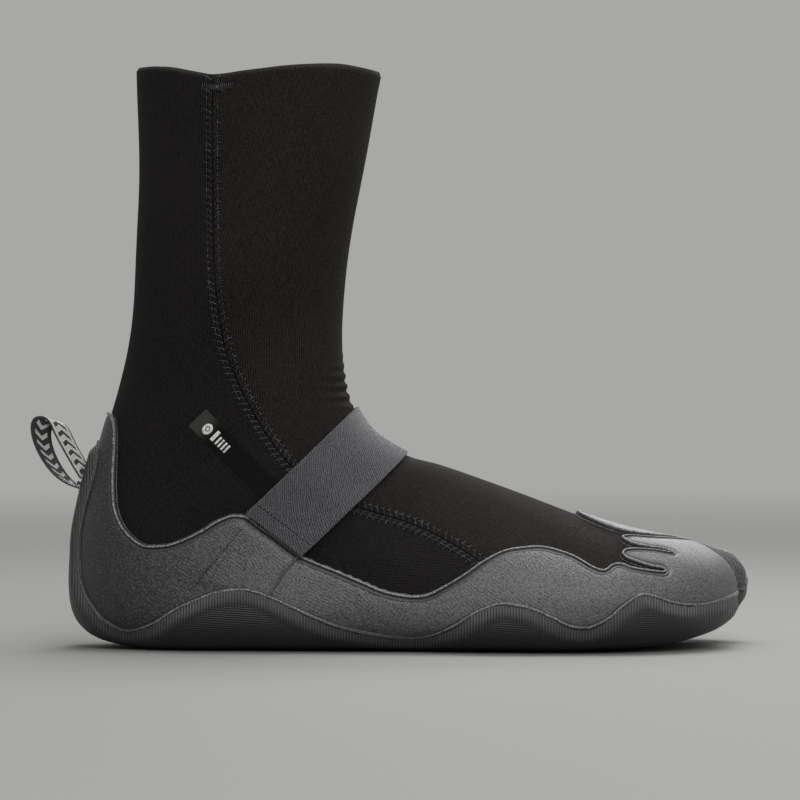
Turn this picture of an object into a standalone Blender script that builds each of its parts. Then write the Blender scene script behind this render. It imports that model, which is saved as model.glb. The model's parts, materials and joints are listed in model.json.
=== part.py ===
"""Split-toe neoprene boot for the right foot, built up from its separate layers.

Metres, +Z up, toe along +X, big-toe side along +Y. One closed surface, the outside
of the neoprene, is lofted through sections that turn from level at the leg to
upright at the toe. Every layer is the space between two offsets of that surface,
cut to its own outline as seen from the side.
"""

import math

import bmesh
import bpy
from mathutils import Vector

# Overall sizes
LENGTH = 0.290
HEIGHT = 0.2465
WIDTH = 0.104

# Layers, as distances outward from the outside of the neoprene
GAP = 0.0003
NEOPRENE = 0.0045
LINING = 0.0008
INSOLE = 0.004
TAPE = 0.0004
RUBBER = 0.0017
SOLE = 0.0026
WEBBING = 0.0016
LINING_OUT = -NEOPRENE - GAP
LINING_IN = LINING_OUT - LINING
TAPE_IN = 0.0001
RUBBER_IN = GAP
RUBBER_OUT = RUBBER_IN + RUBBER
ANCHOR_OUT = RUBBER_IN + 0.0006
SOLE_IN = RUBBER_OUT + GAP
SOLE_OUT = SOLE_IN + SOLE
STRAP_IN = RUBBER_OUT + GAP
STRAP_OUT = STRAP_IN + WEBBING

# The slot between the big toe and the others
SLOT_Y = 0.012
SLOT_HALF = 0.0010
SLOT_END = 0.900

# The strap's two folds and the pull loop
FOLD_OUTER = -0.021
FOLD_INNER = 0.023
PULL_LENGTH = 0.029
PULL_WIDTH = 0.011
PULL_THICK = 0.0010
PULL_STEM = 0.0035

# Side view, in fractions of LENGTH and HEIGHT: front and top of each section
FRONT_LINE = [
    (0.478, 1.070), (0.455, 0.975), (0.428, 0.800), (0.406, 0.655), (0.399, 0.555),
    (0.403, 0.480), (0.413, 0.424), (0.437, 0.376), (0.467, 0.348), (0.501, 0.328),
    (0.543, 0.315), (0.600, 0.292), (0.672, 0.261), (0.750, 0.226), (0.822, 0.200),
    (0.887, 0.183), (0.932, 0.167), (0.960, 0.149), (0.977, 0.127),
]
# and the back and bottom of the same sections
BACK_LINE = [
    (0.098, 1.070), (0.099, 0.975), (0.102, 0.800), (0.097, 0.650), (0.088, 0.540),
    (0.073, 0.450), (0.051, 0.360), (0.029, 0.265), (0.016, 0.170), (0.025, 0.055),
    (0.110, 0.019), (0.270, 0.018), (0.450, 0.018), (0.610, 0.018), (0.745, 0.018),
    (0.860, 0.027), (0.925, 0.043), (0.958, 0.060), (0.976, 0.082),
]
TIP = (0.9835, 0.104, 0.27)
# Station: middle, outer half and inner half across, in fractions of WIDTH
ACROSS = [
    (0, 0.00, 0.43, 0.43), (2, 0.00, 0.41, 0.41), (4, 0.00, 0.36, 0.36), (6, 0.00, 0.35, 0.35),
    (8, 0.00, 0.36, 0.35), (10, 0.00, 0.38, 0.36), (12, 0.00, 0.44, 0.42), (13, 0.00, 0.49, 0.45),
    (14, 0.00, 0.50, 0.47), (15, 0.04, 0.45, 0.42), (16, 0.12, 0.40, 0.33), (17, 0.20, 0.32, 0.20),
    (18, 0.25, 0.19, 0.11),
]
# Station: how far down the widest place is, roundness above it and below it
ROUNDNESS = [
    (0, 0.50, 2.0, 2.0), (6, 0.50, 2.1, 2.1), (9, 0.55, 2.1, 2.4), (11, 0.66, 2.0, 3.2),
    (15, 0.66, 2.0, 3.2), (18, 0.55, 2.1, 2.4),
]
RINGS = [0, 1, 2, 3, 3.8, 4.6, 5.3, 6, 6.6, 7.2, 7.8, 8.4, 9, 9.6, 10.5, 11.5, 12.5, 13.4, 14.2,
         14.8, 15.4, 16, 16.5, 17, 17.5, 18]
AROUND = 22

# Outlines seen from the side, in the same fractions
COLLAR = [(0.098, 0.998), (0.135, 0.998), (0.180, 0.989), (0.215, 0.983), (0.265, 0.990),
          (0.330, 0.998), (0.400, 1.000), (0.440, 0.994), (0.480, 0.984)]
SEAM = [(0.214, 1.060), (0.214, 0.775), (0.217, 0.636), (0.226, 0.549), (0.237, 0.497),
        (0.256, 0.445), (0.278, 0.396), (0.299, 0.358), (0.325, 0.320), (0.370, 0.278),
        (0.421, 0.249), (0.502, 0.219), (0.568, 0.181), (0.634, 0.124), (0.663, 0.081)]
BOTTOM_SEAM = [(0.663, 0.081), (0.760, 0.070), (0.900, 0.082), (1.050, 0.090)]
HEEL_SEAM = [(0.663, 0.081), (0.450, 0.075), (0.150, 0.075), (-0.050, 0.075)]
RUBBER_EDGE = [
    (-0.050, 0.402), (0.054, 0.402), (0.064, 0.391), (0.073, 0.358), (0.071, 0.289),
    (0.074, 0.245), (0.087, 0.211), (0.108, 0.188), (0.127, 0.183), (0.157, 0.188),
    (0.193, 0.207), (0.223, 0.228), (0.245, 0.236), (0.270, 0.228), (0.303, 0.200),
    (0.340, 0.167), (0.384, 0.145), (0.428, 0.124), (0.465, 0.107), (0.502, 0.100),
    (0.524, 0.103), (0.546, 0.115), (0.575, 0.134), (0.605, 0.157), (0.634, 0.173),
    (0.663, 0.178), (0.686, 0.179), (0.708, 0.174), (0.737, 0.162), (0.775, 0.142),
    (0.799, 0.150), (0.832, 0.143), (0.862, 0.138), (0.832, 0.148), (0.812, 0.158),
    (0.805, 0.166), (0.818, 0.174), (0.846, 0.171), (0.875, 0.167), (0.840, 0.177),
    (0.812, 0.186), (0.780, 0.203), (0.755, 0.214), (0.741, 0.226), (0.741, 0.300),
]
# Bare neoprene between the rubber's two tips on top of the toes, seen from above
BETWEEN_TIPS = [(0.906, 0.118), (0.860, 0.000), (0.810, -0.096), (0.770, -0.058), (0.745, 0.029),
                (0.700, 0.029), (0.700, -0.420), (0.795, -0.400), (0.803, -0.300), (0.835, -0.190),
                (0.870, -0.070), (0.906, 0.090)]
SOLE_EDGE = [
    (-0.050, 0.370), (0.045, 0.358), (0.042, 0.315), (0.032, 0.271), (0.021, 0.228),
    (0.018, 0.150), (0.023, 0.115), (0.039, 0.081), (0.061, 0.056), (0.090, 0.044),
    (0.127, 0.056), (0.164, 0.081), (0.215, 0.105), (0.249, 0.111), (0.274, 0.108),
    (0.303, 0.096), (0.333, 0.081), (0.362, 0.067), (0.399, 0.053), (0.443, 0.042),
    (0.487, 0.036), (0.524, 0.039), (0.553, 0.051), (0.597, 0.080), (0.619, 0.088),
    (0.649, 0.089), (0.678, 0.086), (0.708, 0.070), (0.730, 0.058), (0.752, 0.055),
    (0.781, 0.069), (0.799, 0.086), (0.818, 0.100), (0.840, 0.104), (0.862, 0.095),
    (0.884, 0.087), (0.913, 0.086), (0.943, 0.091), (0.979, 0.100), (1.050, 0.110),
]
STRAP = [(0.455, 0.449), (0.530, 0.370), (0.340, 0.171), (0.262, 0.243)]
ANCHOR = [(0.286, 0.267), (0.361, 0.192), (0.293, 0.095), (0.186, 0.121)]
HOOK_PATCH = [(0.296, 0.254), (0.351, 0.199), (0.341, 0.189), (0.283, 0.241)]
LABEL = [(0.179, 0.388), (0.204, 0.414), (0.311, 0.287), (0.284, 0.259)]
TACK_X = (0.200, 0.242)
TACK_Z = (0.951, 0.974)
SEAM_WIDTH = 0.0062
HEM_BACK = 0.012
PULL_FOOT = (0.0055, 0.287)
PULL_OUT = (-0.946, 0.324)
PULL_ALONG = (-0.400, 0.917)

COLOURS = {
    "neoprene": (0.020, 0.018, 0.018),
    "jersey": (0.030, 0.030, 0.032),
    "foam": (0.050, 0.050, 0.055),
    "rubber": (0.060, 0.061, 0.063),
    "sole_rubber": (0.030, 0.030, 0.031),
    "thread": (0.012, 0.012, 0.012),
    "strap_webbing": (0.085, 0.088, 0.092),
    "loop_fabric": (0.015, 0.015, 0.015),
    "satin_tape": (0.015, 0.015, 0.016),
    "ribbon": (0.420, 0.420, 0.410),
}


def clear_scene():
    for obj in list(bpy.data.objects):
        bpy.data.objects.remove(obj, do_unlink=True)


def make_material(name):
    material = bpy.data.materials.new(name)
    material.use_nodes = True
    shader = material.node_tree.nodes["Principled BSDF"]
    shader.inputs["Base Color"].default_value = (*COLOURS[name], 1.0)
    shader.inputs["Roughness"].default_value = 0.75
    return material


def side(point):
    """A side-view point, from fractions to metres."""
    return point[0] * LENGTH, point[1] * HEIGHT


def along_keys(keys, station):
    """Values at a station, smoothly through the nearest four of the numbered keys."""
    last = len(keys) - 1
    n = max(i for i in range(last) if keys[i][0] <= station or i == 0)
    t = (station - keys[n][0]) / (keys[n + 1][0] - keys[n][0])
    a, b, c, d = (keys[min(max(i, 0), last)] for i in (n - 1, n, n + 1, n + 2))
    values = []
    for k in range(1, len(b)):
        span = c[0] - b[0]
        start = span * (c[k] - a[k]) / (c[0] - a[0])
        end = span * (d[k] - b[k]) / (d[0] - b[0])
        values.append((2 * t**3 - 3 * t**2 + 1) * b[k] + (t**3 - 2 * t**2 + t) * start
                      + (3 * t**2 - 2 * t**3) * c[k] + (t**3 - t**2) * end)
    return values


def section(station):
    """One closed section: AROUND points, from the front or top round by the +Y side."""
    numbered = [(i, *side(f), *side(b)) for i, (f, b) in enumerate(zip(FRONT_LINE, BACK_LINE))]
    fx, fz, bx, bz = along_keys(numbered, station)
    middle, outer, inner = (v * WIDTH for v in along_keys(ACROSS, station))
    widest, above, below = along_keys(ROUNDNESS, station)
    points = []
    for k in range(AROUND):
        angle = 2 * math.pi * k / AROUND
        c, s = math.cos(angle), math.sin(angle)
        power = 2 / (above if c > 0 else below)
        part = widest if c > 0 else 1 - widest
        down = widest - part * math.copysign(abs(c) ** power, c)
        half = inner if s > 0 else outer
        y = middle + half * math.copysign(abs(s) ** power, s)
        points.append(Vector((fx + (bx - fx) * down, y, fz + (bz - fz) * down)))
    return points


def surface():
    """The outside of the neoprene as rings of points with their outward normals."""
    rings = [section(station) for station in RINGS]
    normals = []
    for n, ring in enumerate(rings):
        before = rings[max(n - 1, 0)]
        after = rings[min(n + 1, len(rings) - 1)]
        row = []
        for k in range(AROUND):
            across = ring[(k + 1) % AROUND] - ring[k - 1]
            forward = after[k] - before[k]
            row.append(forward.cross(across).normalized())
        normals.append(row)
    return rings, normals


def add_object(name, points, faces):
    mesh = bpy.data.meshes.new(name)
    mesh.from_pydata([tuple(p) for p in points], [], faces)
    work = bmesh.new()
    work.from_mesh(mesh)
    bmesh.ops.recalc_face_normals(work, faces=work.faces)
    if work.calc_volume(signed=True) < 0:
        bmesh.ops.reverse_faces(work, faces=work.faces)
    work.to_mesh(mesh)
    work.free()
    obj = bpy.data.objects.new(name, mesh)
    bpy.context.scene.collection.objects.link(obj)
    return obj


def boot_solid(name, rings, normals, offset):
    """The whole boot closed at the collar and the toe, grown outward by offset."""
    last = len(RINGS) - 1
    if offset < 0:
        last = max(i for i, station in enumerate(RINGS) if station <= 16)
    points = []
    for ring, row in zip(rings[: last + 1], normals[: last + 1]):
        points += [p + n * offset for p, n in zip(ring, row)]
    tip = Vector((TIP[0] * LENGTH, TIP[2] * WIDTH, TIP[1] * HEIGHT)) + Vector((offset, 0, 0))
    if offset < 0:
        middle = sum(rings[last], Vector()) / AROUND
        tip = middle + Vector((0.008 + offset, 0, 0))
    collar = sum(points[:AROUND], Vector()) / AROUND
    points += [tip, collar]
    faces = []
    for n in range(last):
        for k in range(AROUND):
            a, b = n * AROUND + k, n * AROUND + (k + 1) % AROUND
            faces += [(a, b, b + AROUND), (a, b + AROUND, a + AROUND)]
    for k in range(AROUND):
        a, b = k, (k + 1) % AROUND
        faces.append((b, a, len(points) - 1))
        faces.append((a + last * AROUND, b + last * AROUND, len(points) - 2))
    return add_object(name, points, faces)


def prism(name, outline, low_y=-0.2, high_y=0.2, grow=0.0):
    """The side-view outline, in metres, carried across from low_y to high_y."""
    outline = grown(outline, grow) if grow else list(outline)
    if turning(outline) < 0:
        outline.reverse()
    count = len(outline)
    points = [(x, low_y, z) for x, z in outline] + [(x, high_y, z) for x, z in outline]
    faces = [tuple(range(count)), tuple(range(2 * count - 1, count - 1, -1))]
    for k in range(count):
        after = (k + 1) % count
        faces.append((after, k, k + count, after + count))
    return add_object(name, points, faces)


def turning(outline):
    """Twice the outline's area, positive when it runs anticlockwise."""
    pairs = zip(outline, outline[1:] + outline[:1])
    return sum(a[0] * b[1] - b[0] * a[1] for a, b in pairs)


def grown(outline, distance):
    """The outline with every corner moved outward by about the distance."""
    sign = 1 if turning(outline) > 0 else -1
    result = []
    for before, here, after in zip(outline[-1:] + outline[:-1], outline, outline[1:] + outline[:1]):
        first = Vector(here) - Vector(before)
        second = Vector(after) - Vector(here)
        first.normalize()
        second.normalize()
        normal = Vector((first.y + second.y, -first.x - second.x)) * sign
        normal.normalize()
        stretch = max(normal.x * first.y * sign - normal.y * first.x * sign, 0.4)
        result.append((here[0] + normal.x * distance / stretch, here[1] + normal.y * distance / stretch))
    return result


def ribbon_outline(line, width):
    """A closed outline of the given width along an open side-view line."""
    left, right = [], []
    for n, here in enumerate(line):
        before, after = line[max(n - 1, 0)], line[min(n + 1, len(line) - 1)]
        along = Vector((after[0] - before[0], after[1] - before[1])).normalized()
        left.append((here[0] - along.y * width / 2, here[1] + along.x * width / 2))
        right.append((here[0] + along.y * width / 2, here[1] - along.x * width / 2))
    return left + right[::-1]


def slot_cutter(name, grow, rear=SLOT_END):
    """The upright wedge between the toes, seen from above, wider by grow all round."""
    half = SLOT_HALF + grow
    start = rear * LENGTH - grow
    tip = TIP[0] * LENGTH + 0.02
    line = [(start, half * 0.35), (start + half * 0.6, half), (0.945 * LENGTH, half + 0.0002),
            (0.968 * LENGTH, half + 0.0016), (0.992 * LENGTH, half + 0.0075), (tip, half + 0.010)]
    outline = [(x, SLOT_Y - h) for x, h in line] + [(x, SLOT_Y + h) for x, h in reversed(line)]
    return upright_prism(name, outline, -0.05, 0.12)


def upright_prism(name, outline, low_z, high_z):
    """The outline seen from above, in metres, carried up from low_z to high_z."""
    count = len(outline)
    points = [(x, y, low_z) for x, y in outline] + [(x, y, high_z) for x, y in outline]
    faces = [tuple(range(count - 1, -1, -1)), tuple(range(count, 2 * count))]
    for k in range(count):
        after = (k + 1) % count
        faces.append((k, after, after + count, k + count))
    return add_object(name, points, faces)


def box(name, low, high):
    corners = [(x, y, z) for z in (low[2], high[2]) for x, y in
               ((low[0], low[1]), (high[0], low[1]), (high[0], high[1]), (low[0], high[1]))]
    faces = [(3, 2, 1, 0), (4, 5, 6, 7), (0, 1, 5, 4), (1, 2, 6, 5), (2, 3, 7, 6), (3, 0, 4, 7)]
    return add_object(name, corners, faces)


def copy_of(obj, name):
    result = obj.copy()
    result.data = obj.data.copy()
    result.name = name
    bpy.context.scene.collection.objects.link(result)
    return result


def combine(obj, other, operation):
    """Applies one Boolean and keeps the other object."""
    modifier = obj.modifiers.new("cut", "BOOLEAN")
    modifier.operation = operation
    modifier.solver = "EXACT"
    modifier.object = other
    bpy.context.view_layer.update()
    graph = bpy.context.evaluated_depsgraph_get()
    mesh = bpy.data.meshes.new_from_object(obj.evaluated_get(graph))
    obj.modifiers.clear()
    obj.data = mesh


def drop(*objects):
    for obj in objects:
        bpy.data.objects.remove(obj, do_unlink=True)


def slot_growth(offset):
    """Every layer inside the rubber lines the slot; the outsole stops at its mouth."""
    inside = RUBBER_OUT - offset
    return inside if inside > 0 else -inside * 0.1


class Boot:
    """Makes layers of the lofted surface on demand."""

    def __init__(self):
        self.rings, self.normals = surface()
        self.solids = {}

    def solid(self, offset, split=True):
        key = (round(offset, 6), split)
        if key not in self.solids:
            obj = boot_solid(f"solid_{len(self.solids)}", self.rings, self.normals, offset)
            if split:
                cutter = slot_cutter("slot", slot_growth(offset))
                combine(obj, cutter, "DIFFERENCE")
                drop(cutter)
            self.solids[key] = obj
        return self.solids[key]

    def layer(self, name, low, high, keep=(), remove=(), split=True):
        """The layer from offset low to high, inside every keep and outside every remove."""
        obj = copy_of(self.solid(high, split), name)
        for cutter in keep:
            combine(obj, cutter, "INTERSECT")
        for cutter in remove:
            combine(obj, cutter, "DIFFERENCE")
        if low is not None:
            combine(obj, self.solid(low, split), "DIFFERENCE")
        return obj

    def finish(self):
        drop(*self.solids.values())


def below_collar():
    return [side(p) for p in COLLAR] + [(LENGTH * 1.1, 0.94 * HEIGHT), (LENGTH * 1.1, -0.02),
                                        (-0.03, -0.02), (-0.03, 0.998 * HEIGHT)]


def front_outline():
    seam = [side(p) for p in SEAM]
    bottom = [side(p) for p in BOTTOM_SEAM[1:]]
    return seam + bottom + [(1.05 * LENGTH, 1.06 * HEIGHT)]


def rear_outline():
    seam = [side(p) for p in SEAM]
    return seam + [side(p) for p in HEEL_SEAM[1:]] + [(-0.05 * LENGTH, 1.06 * HEIGHT)]


def under_outline():
    heel = [side(p) for p in reversed(HEEL_SEAM)]
    toe = [side(p) for p in BOTTOM_SEAM[1:]]
    return heel + toe + [(1.05 * LENGTH, -0.03), (-0.05 * LENGTH, -0.03)]


def rubber_outline():
    return [side(p) for p in RUBBER_EDGE] + [(1.06 * LENGTH, 0.30 * HEIGHT), (1.06 * LENGTH, -0.03),
                                             (-0.05 * LENGTH, -0.03)]


def build_upper(boot):
    """Neoprene panels, the walls between the toes, the lining and the insole."""
    top = prism("top", below_collar())
    walls = slot_cutter("walls", RUBBER_OUT + NEOPRENE + 0.0010)
    beside = slot_cutter("beside", RUBBER_OUT + NEOPRENE + 0.0010 + GAP)
    pieces = []
    for name, outline in (("front_panel", front_outline()), ("rear_panel", rear_outline()),
                          ("bottom_panel", under_outline())):
        cutter = prism("panel", outline, grow=-GAP / 2)
        pieces.append(boot.layer(name, -NEOPRENE, 0.0, (top, cutter), (beside,)))
        drop(cutter)
    pieces.append(boot.layer("toe_gusset", -NEOPRENE, 0.0, (walls,)))
    lining = boot.layer("lining", LINING_IN, LINING_OUT, (top,))
    floor = box("floor", (-0.1, -0.1, -0.01), (0.4, 0.1, 0.018 * HEIGHT - LINING_IN + GAP + INSOLE))
    insole = boot.layer("insole", None, LINING_IN - GAP, (floor,))
    drop(top, walls, beside, floor)
    return pieces, lining, insole


def build_seams(boot):
    """Flat stitched seams down both sides, with a bar of stitches at the collar."""
    line = [side(p) for p in SEAM]
    ribbon = prism("ribbon", ribbon_outline(line, SEAM_WIDTH))
    top = prism("top", below_collar())
    rubber = prism("rubber", rubber_outline(), grow=GAP * 2)
    tack = prism("tack", [(TACK_X[0] * LENGTH, TACK_Z[0] * HEIGHT), (TACK_X[1] * LENGTH, TACK_Z[0] * HEIGHT),
                          (TACK_X[1] * LENGTH, TACK_Z[1] * HEIGHT), (TACK_X[0] * LENGTH, TACK_Z[1] * HEIGHT)])
    pieces = []
    for label, low, high in (("outer", -0.2, -0.002), ("inner", 0.002, 0.2)):
        half = box("half", (-0.1, low, -0.1), (0.4, high, 0.4))
        pieces.append(boot.layer(f"{label}_seam", TAPE_IN, TAPE_IN + TAPE, (ribbon, half, top), (rubber,)))
        bar_in = TAPE_IN + TAPE + 0.0002
        pieces.append(boot.layer(f"{label}_bar_tack", bar_in, bar_in + 0.0007, (tack, half)))
        drop(half)
    drop(ribbon, top, rubber, tack)
    return pieces


def build_rubber(boot):
    """The moulded rubber foot, the tails of the strap under it, and the outsole."""
    region = prism("region", rubber_outline())
    tails = prism("tails", [side(p) for p in ANCHOR])
    pocket_cut = prism("pocket_cut", [side(p) for p in ANCHOR], grow=GAP * 1.5)
    pocket = boot.layer("pocket", TAPE_IN, ANCHOR_OUT + GAP, (pocket_cut,))
    between = upright_prism("between", [(x * LENGTH, y * WIDTH) for x, y in BETWEEN_TIPS],
                            0.187 * HEIGHT, 0.4 * HEIGHT)
    rubber = boot.layer("rubber_foot", RUBBER_IN, RUBBER_OUT, (region,), (pocket, between))
    pieces = [rubber]
    for label, low, high in (("outer", -0.2, -0.002), ("inner", 0.002, 0.2)):
        half = box("half", (-0.1, low, -0.1), (0.4, high, 0.4))
        pieces.append(boot.layer(f"{label}_strap_anchor", RUBBER_IN, ANCHOR_OUT, (tails, half)))
        drop(half)
    drop(region, tails, pocket_cut, pocket, between)
    return pieces


def build_outsole(boot):
    """The outsole with its wavy edge and the strip that runs up the back of the heel."""
    outline = [side(p) for p in SOLE_EDGE] + [(1.05 * LENGTH, -0.0), (-0.05 * LENGTH, -0.0)]
    region = prism("region", outline)
    slit = pull_stem("slit", GAP)
    sole = boot.layer("outsole", SOLE_IN, SOLE_OUT, (region,), (slit,))
    drop(region, slit)
    return [sole]


def build_strap(boot):
    """The strap over the instep in three parts, with its hook patch and end hem."""
    strap = [side(p) for p in STRAP]
    band = prism("band", strap)
    pieces = []
    for name, low, high in (("strap_tab", -0.2, FOLD_OUTER - GAP), ("strap_crown", FOLD_OUTER + GAP, FOLD_INNER - GAP),
                            ("strap_inner", FOLD_INNER + GAP, 0.2)):
        part = box("part", (-0.1, low, 0.05 * HEIGHT), (0.4, high, 0.4))
        pieces.append(boot.layer(name, STRAP_IN, STRAP_OUT, (band, part), split=False))
        drop(part)
    outer = box("outer", (-0.1, -0.2, -0.1), (0.4, -0.01, 0.4))
    patch = prism("patch", [side(p) for p in HOOK_PATCH])
    patch_in = ANCHOR_OUT + 0.0002
    pieces.append(boot.layer("hook_patch", patch_in, STRAP_IN - 0.0002, (patch, outer), split=False))
    back = Vector(strap[3]) - Vector(strap[2])
    up = (Vector(strap[0]) - Vector(strap[3])).normalized() * HEM_BACK
    low, high = Vector(strap[2]) + back * 0.03, Vector(strap[2]) + back * 0.97
    hem_line = [tuple(low + up), tuple(high + up)]
    hem = prism("hem", ribbon_outline(hem_line, 0.0016))
    pieces.append(boot.layer("hem_thread", STRAP_OUT + 0.0001, STRAP_OUT + 0.0006, (hem, outer), split=False))
    drop(band, outer, patch, hem)
    return pieces


def build_label(boot):
    """The woven size label on the outer side."""
    outer = box("outer", (-0.1, -0.2, -0.1), (0.4, -0.01, 0.4))
    outline = prism("outline", [side(p) for p in LABEL])
    tail = prism("tail", [side(p) for p in ANCHOR], grow=GAP)
    label = boot.layer("size_label", TAPE_IN, TAPE_IN + TAPE, (outline, outer), (tail,))
    drop(outer, outline, tail)
    return label


def pull_root():
    """Where the pull loop leaves the heel, and its outward and lengthwise directions."""
    x, z = side(PULL_FOOT)
    return Vector((x, 0, z)), Vector((PULL_OUT[0], 0, PULL_OUT[1])), Vector((PULL_ALONG[0], 0, PULL_ALONG[1]))


def pull_stem(name, grow=0.0):
    """The loop's sewn tail, standing out of a slit in the heel strip."""
    foot, out, _ = pull_root()
    up = Vector((-out.z, 0, out.x)) * -1
    start, end = -0.0030 - grow, PULL_STEM
    half, thick = 0.0036 + grow, PULL_THICK * 1.1 + grow
    corners = []
    for y in (-thick, thick):
        corners += [foot + out * start - up * half, foot + out * end - up * half * 0.8,
                    foot + out * end + up * half * 0.8, foot + out * start + up * half]
        for p in corners[-4:]:
            p.y = y
    faces = [(0, 1, 2, 3), (7, 6, 5, 4), (0, 4, 5, 1), (1, 5, 6, 2), (2, 6, 7, 3), (3, 7, 4, 0)]
    return add_object(name, corners, faces)


def build_pull_loop():
    """A ribbon folded into a loop, and the sewn tail that holds it."""
    foot, out, along = pull_root()
    hinge = foot + out * (PULL_STEM + 0.0024)
    across = Vector((along.z, 0, -along.x))
    half_gap = 0.0042
    path = [(0.0008, 0.0007, 0.45), (0.25, 0.5, 0.8), (0.55, 0.95, 1.0), (0.85, 1.0, 1.0), (0.95, 0.75, 1.0)]
    rows = [(s * PULL_LENGTH if n else s, -max(w * half_gap, 0.0011), k) for n, (s, w, k) in enumerate(path)]
    rows += [(PULL_LENGTH, 0.0, 1.0)] + [(s, -w, k) for s, w, k in reversed(rows)]
    points = []
    for n, (s, w, k) in enumerate(rows):
        before, after = rows[max(n - 1, 0)], rows[min(n + 1, len(rows) - 1)]
        tangent = Vector((after[0] - before[0], after[1] - before[1])).normalized()
        for thick in (-PULL_THICK / 2, PULL_THICK / 2):
            at = Vector((s - tangent.y * thick, w + tangent.x * thick))
            for edge in (-0.5, 0.5):
                p = hinge + along * at.x + across * (edge * k * PULL_WIDTH)
                p.y = at.y
                points.append(p)
    faces = [(0, 1, 3, 2)]
    for n in range(len(rows) - 1):
        a = n * 4
        for i, j in ((0, 1), (1, 3), (3, 2), (2, 0)):
            faces.append((a + j, a + i, a + 4 + i, a + 4 + j))
    last = (len(rows) - 1) * 4
    faces.append((last + 2, last + 3, last + 1, last))
    loop = add_object("pull_loop", points, faces)
    stem = pull_stem("pull_loop_tail")
    return loop, stem, hinge


def place(objects):
    """Moves the boot so that the middle of its underside is the origin."""
    corners = [v.co for obj in objects for v in obj.data.vertices]
    low = Vector([min(c[i] for c in corners) for i in range(3)])
    high = Vector([max(c[i] for c in corners) for i in range(3)])
    shift = Vector((-(low.x + high.x) / 2, -(low.y + high.y) / 2, -low.z))
    for obj in objects:
        for vertex in obj.data.vertices:
            vertex.co += shift
    return shift


def strap_fold(crown, fold):
    """The crown's outer corners at one of its folds, back one first: the fold's axis."""
    strap = [side(p) for p in STRAP]
    up = (Vector(strap[0]) - Vector(strap[3])).normalized()
    wide = Vector((-up.y, up.x)) * -1
    edge = [v.co for v in crown.data.vertices if abs(v.co.y - fold) < 1.5 * GAP]
    corners = []
    for sign in (-1, 1):
        reach = max(Vector((p.x, p.z)).dot(wide) * sign for p in edge)
        near = [p for p in edge if Vector((p.x, p.z)).dot(wide) * sign > reach - GAP]
        outer = max(near, key=lambda p: Vector((p.x, p.z)).dot(up))
        corners.append(Vector((outer.x + up.x * GAP, fold, outer.z + up.y * GAP)))
    return corners


def set_origin(obj, at):
    for vertex in obj.data.vertices:
        vertex.co -= at
    obj.location = at


def main():
    clear_scene()
    boot = Boot()
    panels, lining, insole = build_upper(boot)
    seams = build_seams(boot)
    rubber = build_rubber(boot)
    sole = build_outsole(boot)
    strap = build_strap(boot)
    label = build_label(boot)
    loop, stem, hinge = build_pull_loop()
    folds = [strap_fold(strap[1], FOLD_OUTER), strap_fold(strap[1], FOLD_INNER)]
    boot.finish()
    groups = [("neoprene", panels), ("jersey", [lining]), ("foam", [insole]), ("thread", seams),
              ("rubber", rubber[:1]), ("loop_fabric", rubber[1:] + strap[3:4]), ("sole_rubber", sole),
              ("strap_webbing", strap[:3]), ("satin_tape", [label]),
              ("ribbon", [loop, stem])]
    groups[3][1].append(strap[4])
    everything = [obj for _, group in groups for obj in group]
    for name, group in groups:
        material = make_material(name)
        for obj in group:
            obj.data.materials.clear()
            obj.data.materials.append(material)
    shift = place(everything)
    set_origin(loop, hinge + shift)
    middles = [(low + high) / 2 + shift for low, high in folds]
    for obj in (strap[0], strap[3], strap[4]):
        set_origin(obj, middles[0])
    set_origin(strap[1], middles[1])
    print("pull loop hinge", [round(v, 5) for v in hinge + shift])
    for middle, (low, high) in zip(middles, folds):
        print("strap fold", [round(v, 5) for v in middle], "axis", [round(v, 4) for v in (low - high).normalized()])
    for obj in everything:
        print(obj.name, len(obj.data.polygons), sum(len(p.vertices) - 2 for p in obj.data.polygons))


main()
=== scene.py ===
"""Looks for the split-toe neoprene boot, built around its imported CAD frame."""

import json
import math

import bpy
import numpy as np
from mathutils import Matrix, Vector
from mathutils.kdtree import KDTree


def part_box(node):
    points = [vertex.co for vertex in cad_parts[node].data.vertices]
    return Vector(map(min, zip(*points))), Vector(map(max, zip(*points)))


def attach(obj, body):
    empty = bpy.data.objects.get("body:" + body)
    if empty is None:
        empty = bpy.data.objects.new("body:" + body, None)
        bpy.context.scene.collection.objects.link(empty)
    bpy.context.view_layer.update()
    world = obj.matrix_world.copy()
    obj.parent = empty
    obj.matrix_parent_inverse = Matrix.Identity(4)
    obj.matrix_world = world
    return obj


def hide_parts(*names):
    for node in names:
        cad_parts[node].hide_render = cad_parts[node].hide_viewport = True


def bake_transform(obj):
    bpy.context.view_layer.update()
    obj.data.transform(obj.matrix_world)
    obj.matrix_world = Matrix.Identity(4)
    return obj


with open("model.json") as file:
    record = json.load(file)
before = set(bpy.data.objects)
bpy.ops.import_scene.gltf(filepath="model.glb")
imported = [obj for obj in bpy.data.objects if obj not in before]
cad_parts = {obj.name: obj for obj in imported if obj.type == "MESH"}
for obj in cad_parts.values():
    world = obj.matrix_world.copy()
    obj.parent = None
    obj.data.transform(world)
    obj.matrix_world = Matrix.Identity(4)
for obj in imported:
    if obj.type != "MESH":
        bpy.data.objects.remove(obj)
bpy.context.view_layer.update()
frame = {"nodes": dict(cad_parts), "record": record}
bpy.ops.object.select_all(action="DESELECT")

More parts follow.
